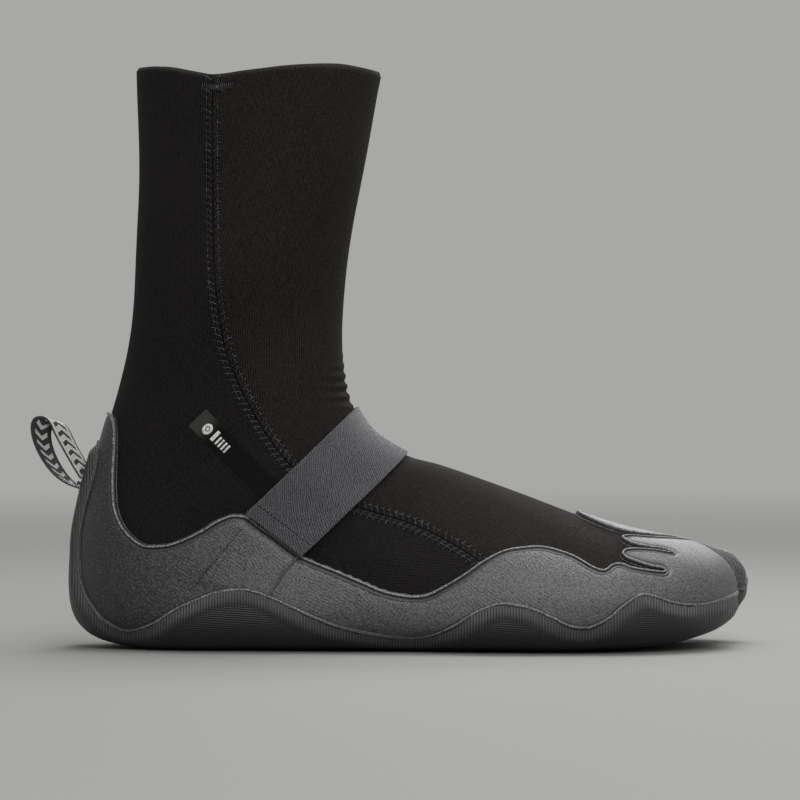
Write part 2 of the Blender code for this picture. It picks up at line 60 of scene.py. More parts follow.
# ---------------------------------------------------------------------------
# The last
# The foot-shaped form that the boot is built on. It is a fan of closed sections,
# numbered from the collar to the toe, level at the leg and upright at the toe.
# Every sheet is cut flat and wrapped on it at its own height above its surface.
# ---------------------------------------------------------------------------
MM = 0.001
SOLE_TO_LAST = 1.00243
SOLE_PAST_HEEL = 0.26 * MM
CROWN_TO_MIDDLE = 20.7 * MM
sole_low, sole_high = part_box("outsole")
LENGTH = (sole_high.x - sole_low.x) / SOLE_TO_LAST
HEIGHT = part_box("front_panel")[1].z
WIDTH = LENGTH * 104 / 290
HEEL_X = sole_low.x + SOLE_PAST_HEEL
MIDDLE_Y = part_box("strap_crown")[0].y + CROWN_TO_MIDDLE

FRONT_LINE = [
    (0.478, 1.070), (0.455, 0.975), (0.428, 0.800), (0.406, 0.655), (0.399, 0.555),
    (0.403, 0.480), (0.413, 0.424), (0.437, 0.376), (0.467, 0.348), (0.501, 0.328),
    (0.543, 0.315), (0.600, 0.292), (0.672, 0.261), (0.750, 0.226), (0.822, 0.200),
    (0.887, 0.183), (0.932, 0.167), (0.960, 0.149), (0.977, 0.127),
]
BACK_LINE = [
    (0.098, 1.070), (0.099, 0.975), (0.102, 0.800), (0.097, 0.650), (0.088, 0.540),
    (0.073, 0.450), (0.051, 0.360), (0.029, 0.265), (0.016, 0.170), (0.025, 0.055),
    (0.110, 0.019), (0.270, 0.018), (0.450, 0.018), (0.610, 0.018), (0.745, 0.018),
    (0.860, 0.027), (0.925, 0.043), (0.958, 0.060), (0.976, 0.082),
]
TIP = (0.9835, 0.104, 0.27)
ACROSS = [
    (0, 0.00, 0.43, 0.43), (2, 0.00, 0.41, 0.41), (4, 0.00, 0.36, 0.36), (6, 0.00, 0.35, 0.35),
    (8, 0.00, 0.36, 0.35), (10, 0.00, 0.38, 0.36), (12, 0.00, 0.44, 0.42), (13, 0.00, 0.49, 0.45),
    (14, 0.00, 0.50, 0.47), (15, 0.04, 0.45, 0.42), (16, 0.12, 0.40, 0.33), (17, 0.20, 0.32, 0.20),
    (18, 0.25, 0.19, 0.11),
]
ROUNDNESS = [
    (0, 0.50, 2.0, 2.0), (6, 0.50, 2.1, 2.1), (9, 0.55, 2.1, 2.4), (11, 0.66, 2.0, 3.2),
    (15, 0.66, 2.0, 3.2), (18, 0.55, 2.1, 2.4),
]
TOE_STATION = 18.0
NOSE_STATION = 19.0
NOSE_START = math.radians(40)


def side(points):
    """Side-view points, given in parts of the length and height, in metres."""
    points = np.asarray(points, float).reshape(-1, 2)
    return np.column_stack((HEEL_X + points[:, 0] * LENGTH, points[:, 1] * HEIGHT))


def smooth(keys, at):
    """Smooth values between numbered keys, for any array of places."""
    keys = np.asarray(keys, float)
    places, values = keys[:, 0], keys[:, 1:]
    slopes = np.empty_like(values)
    slopes[1:-1] = (values[2:] - values[:-2]) / (places[2:] - places[:-2])[:, None]
    slopes[0] = (values[1] - values[0]) / (places[1] - places[0])
    slopes[-1] = (values[-1] - values[-2]) / (places[-1] - places[-2])
    at = np.asarray(at, float)
    n = np.clip(np.searchsorted(places, at, "right") - 1, 0, len(places) - 2)
    span = (places[n + 1] - places[n])[..., None]
    t = ((at - places[n])[..., None]) / span
    return ((2 * t**3 - 3 * t**2 + 1) * values[n] + (t**3 - 2 * t**2 + t) * span * slopes[n]
            + (3 * t**2 - 2 * t**3) * values[n + 1] + (t**3 - t**2) * span * slopes[n + 1])


front_back = np.column_stack((np.arange(len(FRONT_LINE)), side(FRONT_LINE), side(BACK_LINE)))


def last_surface(station, angle):
    """Points of the last. The angle runs from the front or top round by the big-toe side."""
    station, angle = np.broadcast_arrays(np.asarray(station, float), np.asarray(angle, float))
    past = np.clip(station - TOE_STATION, 0, 1)[..., None]
    station = np.minimum(station, TOE_STATION)
    fx, fz, bx, bz = np.moveaxis(smooth(front_back, station), -1, 0)
    middle, outer, inner = np.moveaxis(smooth(ACROSS, station) * WIDTH, -1, 0)
    widest, above, below = np.moveaxis(smooth(ROUNDNESS, station), -1, 0)
    c, s = np.cos(angle), np.sin(angle)
    power = 2 / np.where(c > 0, above, below)
    part = np.where(c > 0, widest, 1 - widest)
    down = widest - part * np.sign(c) * np.abs(c) ** power
    y = middle + np.where(s > 0, inner, outer) * np.sign(s) * np.abs(s) ** power
    points = np.stack((fx + (bx - fx) * down, MIDDLE_Y + y, fz + (bz - fz) * down), -1)
    if past.max() == 0:
        return points
    nose = NOSE_START + (math.pi / 2 - NOSE_START) * past
    centre = np.stack(((fx + bx) / 2, MIDDLE_Y + middle + (inner - outer) / 2, (fz + bz) / 2), -1)
    tip = np.array((HEEL_X + TIP[0] * LENGTH, MIDDLE_Y + TIP[2] * WIDTH, TIP[1] * HEIGHT))
    shrink = np.cos(nose) / math.cos(NOSE_START)
    ahead = (np.sin(nose) - math.sin(NOSE_START)) / (1 - math.sin(NOSE_START))
    return np.where(past > 0, centre + (points - centre) * shrink + (tip - centre) * ahead, points)


def last_normal(station, angle):
    """The outward direction, from small steps that stop short of the nose's pole."""
    step = 0.02
    angle = np.asarray(angle)
    station = np.minimum(np.asarray(station, float), NOSE_STATION - 0.05)
    low = np.clip(station - step, 0, NOSE_STATION - 0.03)
    high = np.clip(station + step, 0, NOSE_STATION - 0.03)
    forward = last_surface(high, angle) - last_surface(low, angle)
    across = last_surface(station, angle + step) - last_surface(station, angle - step)
    normal = np.cross(forward, across)
    return normal / np.maximum(np.linalg.norm(normal, axis=-1, keepdims=True), 1e-12)


def run_along(points, axis=0):
    """How far along a row of points each one lies."""
    steps = np.linalg.norm(np.diff(points, axis=axis), axis=-1)
    start = np.zeros_like(np.take(steps, [0], axis=axis))
    return np.concatenate((start, np.cumsum(steps, axis=axis)), axis)


def lay(station, angle, height):
    """Points laid at a height above the last."""
    return last_surface(station, angle) + last_normal(station, angle) * np.asarray(height)[..., None]


def rise(value, start, end):
    """Goes smoothly from 0 at the start to 1 at the end."""
    t = np.clip((value - start) / (end - start), 0, 1)
    return t * t * (3 - 2 * t)


SLOT_Y = MIDDLE_Y + 12 * MM
SLOT_X = HEEL_X + 0.902 * LENGTH
SLOT_Z = 0.106 * HEIGHT


def split_toe(points, cover=0.0):
    """Parts the toe. The toes roll down into a slot between them, and the big toe stands fuller."""
    x, y, z = np.moveaxis(points, -1, 0)
    floor_x = SLOT_X + cover
    radius = (np.where(y < SLOT_Y, 11.5, 6.1) * MM - cover) * rise(x, floor_x, floor_x + 13 * MM) + 1e-7
    near = np.clip(np.abs(y - SLOT_Y) / radius, 0, 1)
    keep = np.where(x > floor_x, np.sqrt(1 - (1 - near) ** 2), 1.0)
    swell = 3.0 * MM * rise(x, SLOT_X + 11 * MM, SLOT_X + 22 * MM) * rise(y, SLOT_Y, SLOT_Y + 7 * MM)
    swell = swell * rise(z, SLOT_Z - 10 * MM, SLOT_Z + 5 * MM)
    out_x, out_z = x - SLOT_X - 13 * MM, z - SLOT_Z + 3 * MM
    reach = np.maximum(np.hypot(out_x, out_z), 1 * MM)
    return np.stack((floor_x + (x - floor_x) * keep + swell * out_x / reach, y,
                     SLOT_Z + (z - SLOT_Z) * keep + swell * out_z / reach), -1)


fan = np.linspace(0, TOE_STATION, 1801)
fan_lines = smooth(front_back, fan)


def on_last(points, hand):
    """Station and angle where side-view points meet the last. hand is -1 outer, 1 inner."""
    stations, angles = [], []
    for x, z in points:
        cross = ((fan_lines[:, 2] - fan_lines[:, 0]) * (z - fan_lines[:, 1])
                 - (fan_lines[:, 3] - fan_lines[:, 1]) * (x - fan_lines[:, 0]))
        length = np.hypot(fan_lines[:, 2] - fan_lines[:, 0], fan_lines[:, 3] - fan_lines[:, 1])
        cross = cross / length
        change = np.nonzero(np.sign(cross[:-1]) != np.sign(cross[1:]))[0]
        n = change[0] if len(change) else int(np.argmin(np.abs(cross)))
        n = min(n, len(fan) - 2)
        t = np.clip(cross[n] / (cross[n] - cross[n + 1] + 1e-15), 0, 1)
        station = fan[n] + t * (fan[n + 1] - fan[n])
        fx, fz, bx, bz = fan_lines[n] + t * (fan_lines[n + 1] - fan_lines[n])
        down = ((x - fx) * (bx - fx) + (z - fz) * (bz - fz)) / ((bx - fx) ** 2 + (bz - fz) ** 2)
        widest, above, below = smooth(ROUNDNESS, np.array([station]))[0]
        c = (widest - down) / (widest if down < widest else 1 - widest)
        c = np.clip(np.sign(c) * abs(c) ** ((above if c > 0 else below) / 2), -1, 1)
        stations.append(station)
        angles.append(math.acos(c) * hand)
    return np.array(stations), np.array(angles)


def even_curve(points, spacing):
    """A smooth curve through side-view points, in metres, with evenly spaced points."""
    points = side(points)
    gaps = np.maximum(np.linalg.norm(np.diff(points, axis=0), axis=1), 1e-6)
    steps = np.concatenate(([0], np.cumsum(gaps**0.5)))
    fine = smooth(np.column_stack((steps, points)), np.linspace(0, steps[-1], len(points) * 24))
    run = run_along(fine)
    count = max(int(run[-1] / spacing), 2) + 1
    at = np.linspace(0, run[-1], count)
    return np.column_stack((np.interp(at, run, fine[:, 0]), np.interp(at, run, fine[:, 1])))


# ---------------------------------------------------------------------------
# Neoprene upper
# Sheets of knit-faced neoprene, 4.5 mm thick once laminated: one over the shin
# and instep, one around the back, one under the foot and one round the toes,
# butted and flat stitched down both sides, and lined with a knit jersey.
# ---------------------------------------------------------------------------
NEOPRENE = 4.5 * MM
COLLAR = [(0.098, 0.998), (0.135, 0.998), (0.180, 0.989), (0.215, 0.983), (0.265, 0.990),
          (0.330, 0.998), (0.400, 1.000), (0.440, 0.994), (0.480, 0.984)]
SEAM = [(0.214, 1.060), (0.214, 0.775), (0.217, 0.636), (0.226, 0.549), (0.237, 0.497),
        (0.256, 0.445), (0.278, 0.396), (0.299, 0.358), (0.325, 0.320), (0.370, 0.278),
        (0.421, 0.249), (0.502, 0.219), (0.568, 0.181), (0.634, 0.124), (0.663, 0.081),
        (0.760, 0.070), (0.900, 0.082), (0.960, 0.090)]
UPPER_END, HEEL_END, TOE_END, LINING_END = 15.0, 9.35, 17.9, 17.5

seam_side = even_curve(SEAM, 1.5 * MM)
seam_station, seam_angle = on_last(seam_side, 1)
collar_side = even_curve(COLLAR, 2 * MM)


def seam_at(station):
    order = np.argsort(seam_station)
    return np.interp(station, seam_station[order], seam_angle[order])


def collar_at(angle):
    """The station where the collar's edge crosses each column."""
    stations = np.linspace(0.3, 1.3, 60)
    result = []
    for a in np.ravel(angle):
        points = last_surface(stations, a)
        edge = np.interp(points[:, 0], collar_side[:, 0], collar_side[:, 1])
        result.append(np.interp(0.0, edge - points[:, 2], stations))
    return np.array(result)


def panel(name, start, end, cols, rows, shape, base=0.0, span=(0.0, UPPER_END)):
    """One panel between two angles that follow the seam line, from the collar or a station down."""
    keys = np.array([0, 1.9, 3.9, 5.8, 7.6, 9.2, 11.2, 13.2, 15.0, 16.6, 18.0])
    first, last = np.interp(span, keys, np.arange(len(keys)))
    station = np.interp(np.linspace(first, last, rows), np.arange(len(keys)), keys)
    station = station[:, None] * np.ones((1, cols))
    even = np.linspace(0, 1, cols)
    t = (0.5 * even + 0.25 * (1 - np.cos(math.pi * even)))[None, :]
    if span[0] == 0:
        top = collar_at(start(1.0) + (end(1.0) - start(1.0)) * t[0])
        station = top[None, :] + station * (span[1] - top[None, :]) / span[1]
    angle = start(station) + (end(station) - start(station)) * t
    points = last_surface(station, angle)
    around, along = run_along(points, 1), run_along(points)
    from_seam = np.minimum(around, around[:, -1:] - around)
    uv = np.stack((around - around[:, -1:] / 2, along), -1)
    height = base + shape(points, along if span[0] == 0 else along + 9 * MM, from_seam)
    return sheet(name, split_toe(lay(station, angle, height), base), uv, out=last_normal(station, angle))


def neoprene_shape(points, along, from_seam):
    """The collar's rolled edge, the stitched seam's hollow, and the small folds at the ankle."""
    height = -1.1 * MM * np.clip(1 - along / (1.3 * MM), 0, 1) ** 2
    height -= 0.55 * MM * np.clip(1 - from_seam / (1.2 * MM), 0, 1) ** 2
    height -= 0.28 * MM * np.exp(-(((from_seam - 2.5 * MM) / (0.8 * MM)) ** 2))
    x, z = (points[..., 0] - HEEL_X) / LENGTH, points[..., 2] / HEIGHT
    front = np.exp(-(((z - 0.452) / 0.040) ** 2)) * np.exp(-(((x - 0.412) / 0.035) ** 2))
    height += 0.55 * MM * front * np.sin(z * HEIGHT * 2 * math.pi / (4.3 * MM) + 6 * x)
    height += 0.35 * MM * np.sin(z * 19 + 7 * x) * np.exp(-(((z - 0.62) / 0.30) ** 2))
    return height


def jersey_shape(points, along, from_seam):
    return -0.5 * MM * np.clip(1 - along / (1.2 * MM), 0, 1) ** 2


def new_material(name, colour, roughness):
    material = bpy.data.materials.new(name)
    material.use_nodes = True
    shader = material.node_tree.nodes["Principled BSDF"]
    shader.inputs["Base Color"].default_value = (*colour, 1)
    shader.inputs["Roughness"].default_value = roughness
    return material, material.node_tree, shader


def shared_effect(name, defaults):
    """A node group with named inputs, which puts out a bump height and a colour."""
    group = bpy.data.node_groups.new(name, "ShaderNodeTree")
    for label, value in defaults.items():
        kind = "NodeSocketColor" if isinstance(value, tuple) else "NodeSocketFloat"
        socket = group.interface.new_socket(label, in_out="INPUT", socket_type=kind)
        socket.default_value = (*value, 1) if isinstance(value, tuple) else value
    group.interface.new_socket("Height", in_out="OUTPUT", socket_type="NodeSocketFloat")
    group.interface.new_socket("Colour", in_out="OUTPUT", socket_type="NodeSocketColor")
    return group, group.nodes.new("NodeGroupInput").outputs, group.nodes.new("NodeGroupOutput").inputs


def use_effect(tree, shader, group, depth, strength, values):
    """Places a shared effect in a material with its own values."""
    node = tree.nodes.new("ShaderNodeGroup")
    node.node_tree = group
    for label, value in values.items():
        node.inputs[label].default_value = (*value, 1) if isinstance(value, tuple) else value
    bump(tree, shader, node.outputs["Height"], depth, strength)
    tree.links.new(node.outputs["Colour"], shader.inputs["Base Color"])


def maths(tree, operation, first, second=None, third=None):
    node = tree.nodes.new("ShaderNodeMath")
    node.operation = operation
    for socket, value in zip(node.inputs, (first, second, third)):
        if value is None:
            continue
        if isinstance(value, (int, float)):
            socket.default_value = value
        else:
            tree.links.new(value, socket)
    return node.outputs[0]


def noise(tree, vector, scale, detail=3.0):
    node = tree.nodes.new("ShaderNodeTexNoise")
    node.inputs["Scale"].default_value = scale
    node.inputs["Detail"].default_value = detail
    tree.links.new(vector, node.inputs["Vector"])
    return node.outputs["Fac"]


def span_of(tree, value, low, high, shape="LINEAR"):
    """Goes from 0 at the low value to 1 at the high one."""
    node = tree.nodes.new("ShaderNodeMapRange")
    node.interpolation_type = shape
    node.inputs["From Min"].default_value = low
    node.inputs["From Max"].default_value = high
    tree.links.new(value, node.inputs["Value"])
    return node.outputs[0]


def shade(tree, part, first, second):
    """Mixes two colours."""
    node = tree.nodes.new("ShaderNodeMix")
    node.data_type = "RGBA"
    for place, source in ((0, part), (6, first), (7, second)):
        tree.links.new(source, node.inputs[place])
    return node.outputs[2]


def ramp(tree, value, stops):
    node = tree.nodes.new("ShaderNodeValToRGB")
    while len(node.color_ramp.elements) < len(stops):
        node.color_ramp.elements.new(0.5)
    for element, (place, colour) in zip(node.color_ramp.elements, stops):
        element.position = place
        element.color = (*colour, 1)
    tree.links.new(value, node.inputs[0])
    return node.outputs[0]


def bump(tree, shader, height, distance, strength=1.0):
    node = tree.nodes.new("ShaderNodeBump")
    node.inputs["Strength"].default_value = strength
    node.inputs["Distance"].default_value = distance
    tree.links.new(height, node.inputs["Height"])
    tree.links.new(node.outputs[0], shader.inputs["Normal"])


def ribs(tree, coordinate, pitch):
    """A rounded rib for every pitch of the coordinate, from 0 to 1."""
    turned = maths(tree, "MULTIPLY", coordinate, maths(tree, "DIVIDE", 2 * math.pi, pitch))
    return maths(tree, "MULTIPLY_ADD", maths(tree, "SINE", turned), 0.5, 0.5)


def split(tree, vector):
    node = tree.nodes.new("ShaderNodeSeparateXYZ")
    tree.links.new(vector, node.inputs[0])
    return node.outputs


def rib_knit():
    """A fine rib knit, laid by the sheet's own flat coordinates."""
    group, given, made = shared_effect("rib_knit", {"Pitch": 1.0 * MM, "Dark": (0, 0, 0), "Light": (1, 1, 1)})
    coords = group.nodes.new("ShaderNodeTexCoord").outputs
    across, along, _ = split(group, coords["UV"])
    wander = noise(group, coords["Object"], 60.0, 2.0)
    across = maths(group, "MULTIPLY_ADD", wander, 0.8 * MM, across)
    rows_of_knit = ribs(group, across, given["Pitch"])
    stitches = ribs(group, along, maths(group, "MULTIPLY", given["Pitch"], 0.72))
    fuzz = noise(group, coords["Object"], 900.0, 3.0)
    patches = noise(group, coords["Object"], 16.0, 4.0)
    knit = maths(group, "MULTIPLY_ADD", stitches, 0.35, rows_of_knit)
    group.links.new(maths(group, "MULTIPLY_ADD", fuzz, 1.1, knit), made["Height"])
    tone = maths(group, "MULTIPLY_ADD", rows_of_knit, 0.30, maths(group, "MULTIPLY", patches, 0.30))
    tone = maths(group, "MULTIPLY_ADD", fuzz, 0.55, tone)
    colour = shade(group, span_of(group, tone, 0.38, 0.78), given["Dark"], given["Light"])
    group.links.new(colour, made["Colour"])
    return group


knit_effect = rib_knit()


def knit_material(name, dark, light, sheen, pitch, depth):
    """A knit cloth face with its soft sheen."""
    material, tree, shader = new_material(name, dark, 0.85)
    use_effect(tree, shader, knit_effect, depth, 0.9, {"Pitch": pitch, "Dark": dark, "Light": light})
    shader.inputs["Sheen Weight"].default_value = sheen
    shader.inputs["Sheen Roughness"].default_value = 0.4
    shader.inputs["Sheen Tint"].default_value = (0.80, 0.66, 0.58, 1)
    shader.inputs["Specular IOR Level"].default_value = 0.15
    return material


def select_only(obj):
    bpy.ops.object.select_all(action="DESELECT")
    obj.select_set(True)
    bpy.context.view_layer.objects.active = obj


def sheet(name, points, uv=None, out=None):
    """A flat grid, wrapped so that its rows and columns lie on the given points."""
    rows, cols = points.shape[:2]
    bpy.ops.object.select_all(action="DESELECT")
    bpy.ops.mesh.primitive_grid_add(x_subdivisions=cols - 1, y_subdivisions=rows - 1, size=1)
    obj = bpy.context.object
    obj.name = obj.data.name = name
    obj.data.vertices.foreach_set("co", np.ascontiguousarray(points, np.float32).ravel())
    if uv is not None:
        corner = np.empty(len(obj.data.loops), np.int32)
        obj.data.loops.foreach_get("vertex_index", corner)
        flat = np.ascontiguousarray(uv.reshape(-1, 2)[corner], np.float32)
        obj.data.uv_layers.active.data.foreach_set("uv", flat.ravel())
    if out is not None:
        normals = np.empty(len(obj.data.vertices) * 3, np.float32)
        obj.data.update()
        obj.data.vertices.foreach_get("normal", normals)
        if (normals.reshape(-1, 3) * out.reshape(-1, 3)).sum() < 0:
            turn_over(obj)
    obj.data.update()
    bpy.ops.object.shade_smooth()
    return obj


def in_edit_mode(obj, *steps):
    """Runs edit-mode steps on the whole of one mesh."""
    select_only(obj)
    bpy.ops.object.mode_set(mode="EDIT")
    bpy.ops.mesh.select_all(action="SELECT")
    for step in steps:
        step()
    bpy.ops.object.mode_set(mode="OBJECT")


def turn_over(obj):
    in_edit_mode(obj, bpy.ops.mesh.flip_normals)


def weld(obj, distance=0.02 * MM):
    in_edit_mode(obj, lambda: bpy.ops.mesh.remove_doubles(threshold=distance))


def thicken(obj, thickness, offset=-1.0, edge_slot=0):
    select_only(obj)
    modifier = obj.modifiers.new("thickness", "SOLIDIFY")
    modifier.thickness = thickness
    modifier.offset = offset
    modifier.use_even_offset = False
    modifier.material_offset = modifier.material_offset_rim = edge_slot
    bpy.ops.object.modifier_apply(modifier=modifier.name)


def finish(obj, material, body, slot, *nodes):
    obj.data.materials.clear()
    obj.data.materials.append(material)
    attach(obj, body)
    if nodes:
        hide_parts(*nodes)
    return obj


BLACK_YARN = (0.0008, 0.0007, 0.0007)
shin_knit = knit_material("shin_knit", BLACK_YARN, (0.0215, 0.0176, 0.0158), 0.006, 1.05 * MM, 0.14 * MM)
# Painted shade: the back and under panels get a darker, cooler copy of the shin knit, standing in for the
# shade on the heel side of the boot.
shaded_heel_knit = knit_material("shaded_heel_knit", BLACK_YARN, (0.0155, 0.0135, 0.0130), 0.010, 1.05 * MM, 0.14 * MM)
jersey = knit_material("knit_jersey", (0.020, 0.0105, 0.0085), (0.042, 0.021, 0.017), 0.15,
                       1.2 * MM, 0.12 * MM)

front = panel("front_neoprene", lambda s: -seam_at(s), seam_at, 130, 240, neoprene_shape)
rear = panel("rear_neoprene", seam_at, lambda s: 2 * math.pi - seam_at(s), 140, 170, neoprene_shape,
             span=(0, HEEL_END))
under = panel("under_neoprene", seam_at, lambda s: 2 * math.pi - seam_at(s), 120, 120, neoprene_shape,
              span=(HEEL_END, TOE_END))
toe = panel("toe_neoprene", lambda s: -seam_at(s), seam_at, 60, 30, neoprene_shape, span=(UPPER_END, TOE_END))
lining = panel("jersey_lining", lambda s: 0 * s, lambda s: 0 * s + 2 * math.pi, 130, 220, jersey_shape,
               base=-NEOPRENE - 0.05 * MM, span=(0, LINING_END))
weld(lining)
for piece, knit, node in ((front, shin_knit, "front_panel"), (rear, shaded_heel_knit, "rear_panel"),
                          (under, shaded_heel_knit, "bottom_panel"), (toe, shin_knit, "toe_gusset")):
    thicken(piece, NEOPRENE)
    finish(piece, knit, "boot", "neoprene", node)
thicken(lining, 0.8 * MM)
finish(lining, jersey, "boot", "jersey", "lining")

# The insole board stays as it was cut, in a grey foam.
foam, tree, shader = new_material("insole_foam", (0.05, 0.05, 0.052), 0.9)
coords = tree.nodes.new("ShaderNodeTexCoord")
cells = noise(tree, coords.outputs["Object"], 1500.0, 4.0)
bump(tree, shader, cells, 0.15 * MM)
tree.links.new(ramp(tree, cells, [(0.3, (0.030, 0.030, 0.032)), (0.7, (0.075, 0.075, 0.078))]),
               shader.inputs["Base Color"])
insole = frame["nodes"]["insole"]
insole.data.materials.clear()
insole.data.materials.append(foam)

# ---------------------------------------------------------------------------
# Flat stitching
# Two needle lines of bonded black thread, 5 mm apart, with a looper thread
# laced between them, down both sides, closed by a bar tack under the collar.
# ---------------------------------------------------------------------------
ROW = 2.45 * MM


def frames_along(points, hand, spacing):
    """Points on the last under a side-view curve, with the directions out from it and across it."""
    station, angle = on_last(even_curve(points, spacing), hand)
    points = last_surface(station, angle)
    normal = last_normal(station, angle)
    return points, normal, across_line(points, normal)


def across_line(points, normal):
    ahead = np.gradient(points, axis=0)
    ahead /= np.maximum(np.linalg.norm(ahead, axis=1, keepdims=True), 1e-9)
    return np.cross(normal, ahead)


def threads(name, runs, radius, material, body, slot, *nodes_for):
    """Short lengths of round thread, drawn as bevelled curves and made into one mesh."""
    bpy.ops.object.select_all(action="DESELECT")
    bpy.ops.curve.primitive_nurbs_path_add()
    obj = bpy.context.object
    obj.name = obj.data.name = name
    obj.data.splines.clear()
    for run in runs:
        spline = obj.data.splines.new("POLY")
        spline.points.add(len(run) - 1)
        spline.points.foreach_set("co", np.column_stack((run, np.ones(len(run)))).astype(np.float32).ravel())
        spline.use_smooth = True
    obj.data.bevel_depth = radius
    obj.data.bevel_resolution = 1
    obj.data.use_fill_caps = True
    bpy.ops.object.convert(target="MESH")
    bpy.ops.object.shade_smooth()
    return finish(bpy.context.object, material, body, slot, *nodes_for)


thread, tree, shader = new_material("bonded_thread", (0.006, 0.006, 0.006), 0.38)
coords = tree.nodes.new("ShaderNodeTexCoord")
twist = noise(tree, coords.outputs["Object"], 2600.0, 2.0)
bump(tree, shader, twist, 0.08 * MM)
wear_and_painted_light = noise(tree, coords.outputs["Object"], 420.0, 2.0)
tree.links.new(ramp(tree, wear_and_painted_light, [(0.50, (0.0015, 0.0015, 0.0015)), (0.72, (0.060, 0.060, 0.062))]),
               shader.inputs["Base Color"])
shader.inputs["Coat Weight"].default_value = 0.25

VISIBLE_SEAM = [(0.214, 0.984)] + SEAM[1:13] + [(0.606, 0.152)]
for side_name, hand in (("outer", -1), ("inner", 1)):
    points, normal, wide = frames_along(VISIBLE_SEAM, hand, 0.55 * MM)
    runs = []
    arch = np.array([-0.25, 0.22, 0.36, 0.22, -0.25]) * MM
    for row, first in ((-ROW, 2), (ROW, 4)):
        for n in range(first, len(points) - 5, 5):
            part = slice(n, n + 5)
            runs.append(points[part] + wide[part] * row + normal[part] * arch[:, None])
    for n in range(2, len(points) - 6, 5):
        for row, reach in ((-ROW, 3), (ROW, 2)):
            a = points[n] + wide[n] * row + normal[n] * 0.12 * MM
            b = points[n + reach] + wide[n + reach] * row * 0.15 + normal[n + reach] * 0.02 * MM
            c = points[n] + wide[n] * row * 1.55 + normal[n] * -0.15 * MM
            runs.append(np.array([c, a, b]))
    threads(f"{side_name}_flat_stitching", runs, 0.21 * MM, thread, "boot", "thread", f"{side_name}_seam")

    # The bar tack: a close zigzag across the seam's top
    tack = [(0.199, 0.962), (0.221, 0.960), (0.244, 0.963)]
    points, normal, wide = frames_along(tack, hand, 0.42 * MM)
    zigzag = []
    for n in range(len(points)):
        at = 1.9 * MM * (1 if n % 2 else -1)
        zigzag.append(points[n] + wide[n] * at)
        zigzag.append(points[n] + wide[n] * at * 0.4 + normal[n] * 0.42 * MM)
    threads(f"{side_name}_collar_tack", [np.array(zigzag)], 0.24 * MM, thread, "boot", "thread",
            f"{side_name}_bar_tack")

# ---------------------------------------------------------------------------
# Rubber foot
# A moulded rubber shell about 2 mm thick, glued to the neoprene. Its edge climbs
# the heel, dips at the ankle, rises under the strap and ends in tips over the
# toes. A rolled rim with a moulded groove inside it runs all the way round.
# ---------------------------------------------------------------------------
SIDE_EDGE = [
    (0.0650, 0.4030), (0.0700, 0.3960), (0.0735, 0.3800), (0.0735, 0.3400), (0.0720, 0.2900),
    (0.0745, 0.2450), (0.087, 0.211), (0.108, 0.188), (0.127, 0.183), (0.157, 0.188),
    (0.193, 0.207), (0.223, 0.228), (0.245, 0.236), (0.270, 0.228), (0.303, 0.200), (0.340, 0.167),
    (0.384, 0.145), (0.428, 0.124), (0.465, 0.107), (0.502, 0.100), (0.524, 0.103), (0.546, 0.115),
    (0.575, 0.134), (0.605, 0.157), (0.634, 0.173), (0.663, 0.178), (0.686, 0.179), (0.708, 0.174),
    (0.737, 0.162), (0.762, 0.146), (0.777, 0.141),
]
LOW_SLIT = [(0.789, 0.149), (0.803, 0.150), (0.818, 0.1440), (0.845, 0.1385), (0.862, 0.1362),
            (0.8645, 0.1378)]
LOW_SLIT_BACK = [(0.861, 0.1400), (0.843, 0.1440), (0.8175, 0.1540), (0.8080, 0.1590), (0.8035, 0.1645)]
TOP_TIPS = [
    (0.8055, -0.334), (0.813, -0.312), (0.829, -0.290), (0.850, -0.267), (0.868, -0.247), (0.877, -0.236),
    (0.867, -0.235), (0.846, -0.256), (0.826, -0.266), (0.812, -0.256), (0.8045, -0.235), (0.8085, -0.209),
    (0.822, -0.176), (0.845, -0.136), (0.872, -0.071), (0.892, 0.007), (0.904, 0.082), (0.9085, 0.110),
    (0.8990, 0.086), (0.8850, 0.024), (0.8630, -0.052), (0.838, -0.108), (0.812, -0.136), (0.785, -0.128),
    (0.762, -0.100), (0.7485, -0.064), (0.7430, -0.018), (0.7430, 0.036), (0.7500, 0.085), (0.785, 0.165),
    (0.825, 0.230), (0.832, 0.250), (0.822, 0.270), (0.790, 0.305),
]


def chart(points, hand):
    station, angle = on_last(side(points), hand)
    return np.column_stack((station, angle))


top_s, top_a = np.meshgrid(np.linspace(9, 18.99, 700), np.linspace(-1.9, 1.9, 500), indexing="ij")
top_points = last_surface(top_s, top_a)


def nearest(away, stations, angles):
    """The station and angle where the distance away is least."""
    gap = (away**2).sum(axis=-1)
    best = np.unravel_index(np.argmin(gap), gap.shape)
    return stations[best], angles[best]


def from_above(points):
    """Station and angle under plan-view points, x in parts of the length, y in parts of the width."""
    found = []
    for x, y in points:
        away = np.array((HEEL_X + x * LENGTH, MIDDLE_Y + y * WIDTH)) - top_points[..., :2]
        found.append(nearest(away, top_s, top_a))
    return np.array(found)


EDGE_STEP = 0.5 * MM


def edge_line(keys):
    """A smooth, evenly spaced line on the last through station and angle keys."""
    points = last_surface(keys[:, 0], keys[:, 1])
    gaps = np.linalg.norm(np.diff(points, axis=0), axis=1)
    steps = np.concatenate(([0], np.cumsum(np.sqrt(gaps) + 1e-4)))
    fine = smooth(np.column_stack((steps, keys)), np.linspace(0, steps[-1], len(keys) * 40))
    points = last_surface(fine[:, 0], fine[:, 1])
    run = run_along(points)
    at = np.linspace(0, run[-1], int(run[-1] / EDGE_STEP) + 1)
    return np.column_stack((np.interp(at, run, fine[:, 0]), np.interp(at, run, fine[:, 1])))


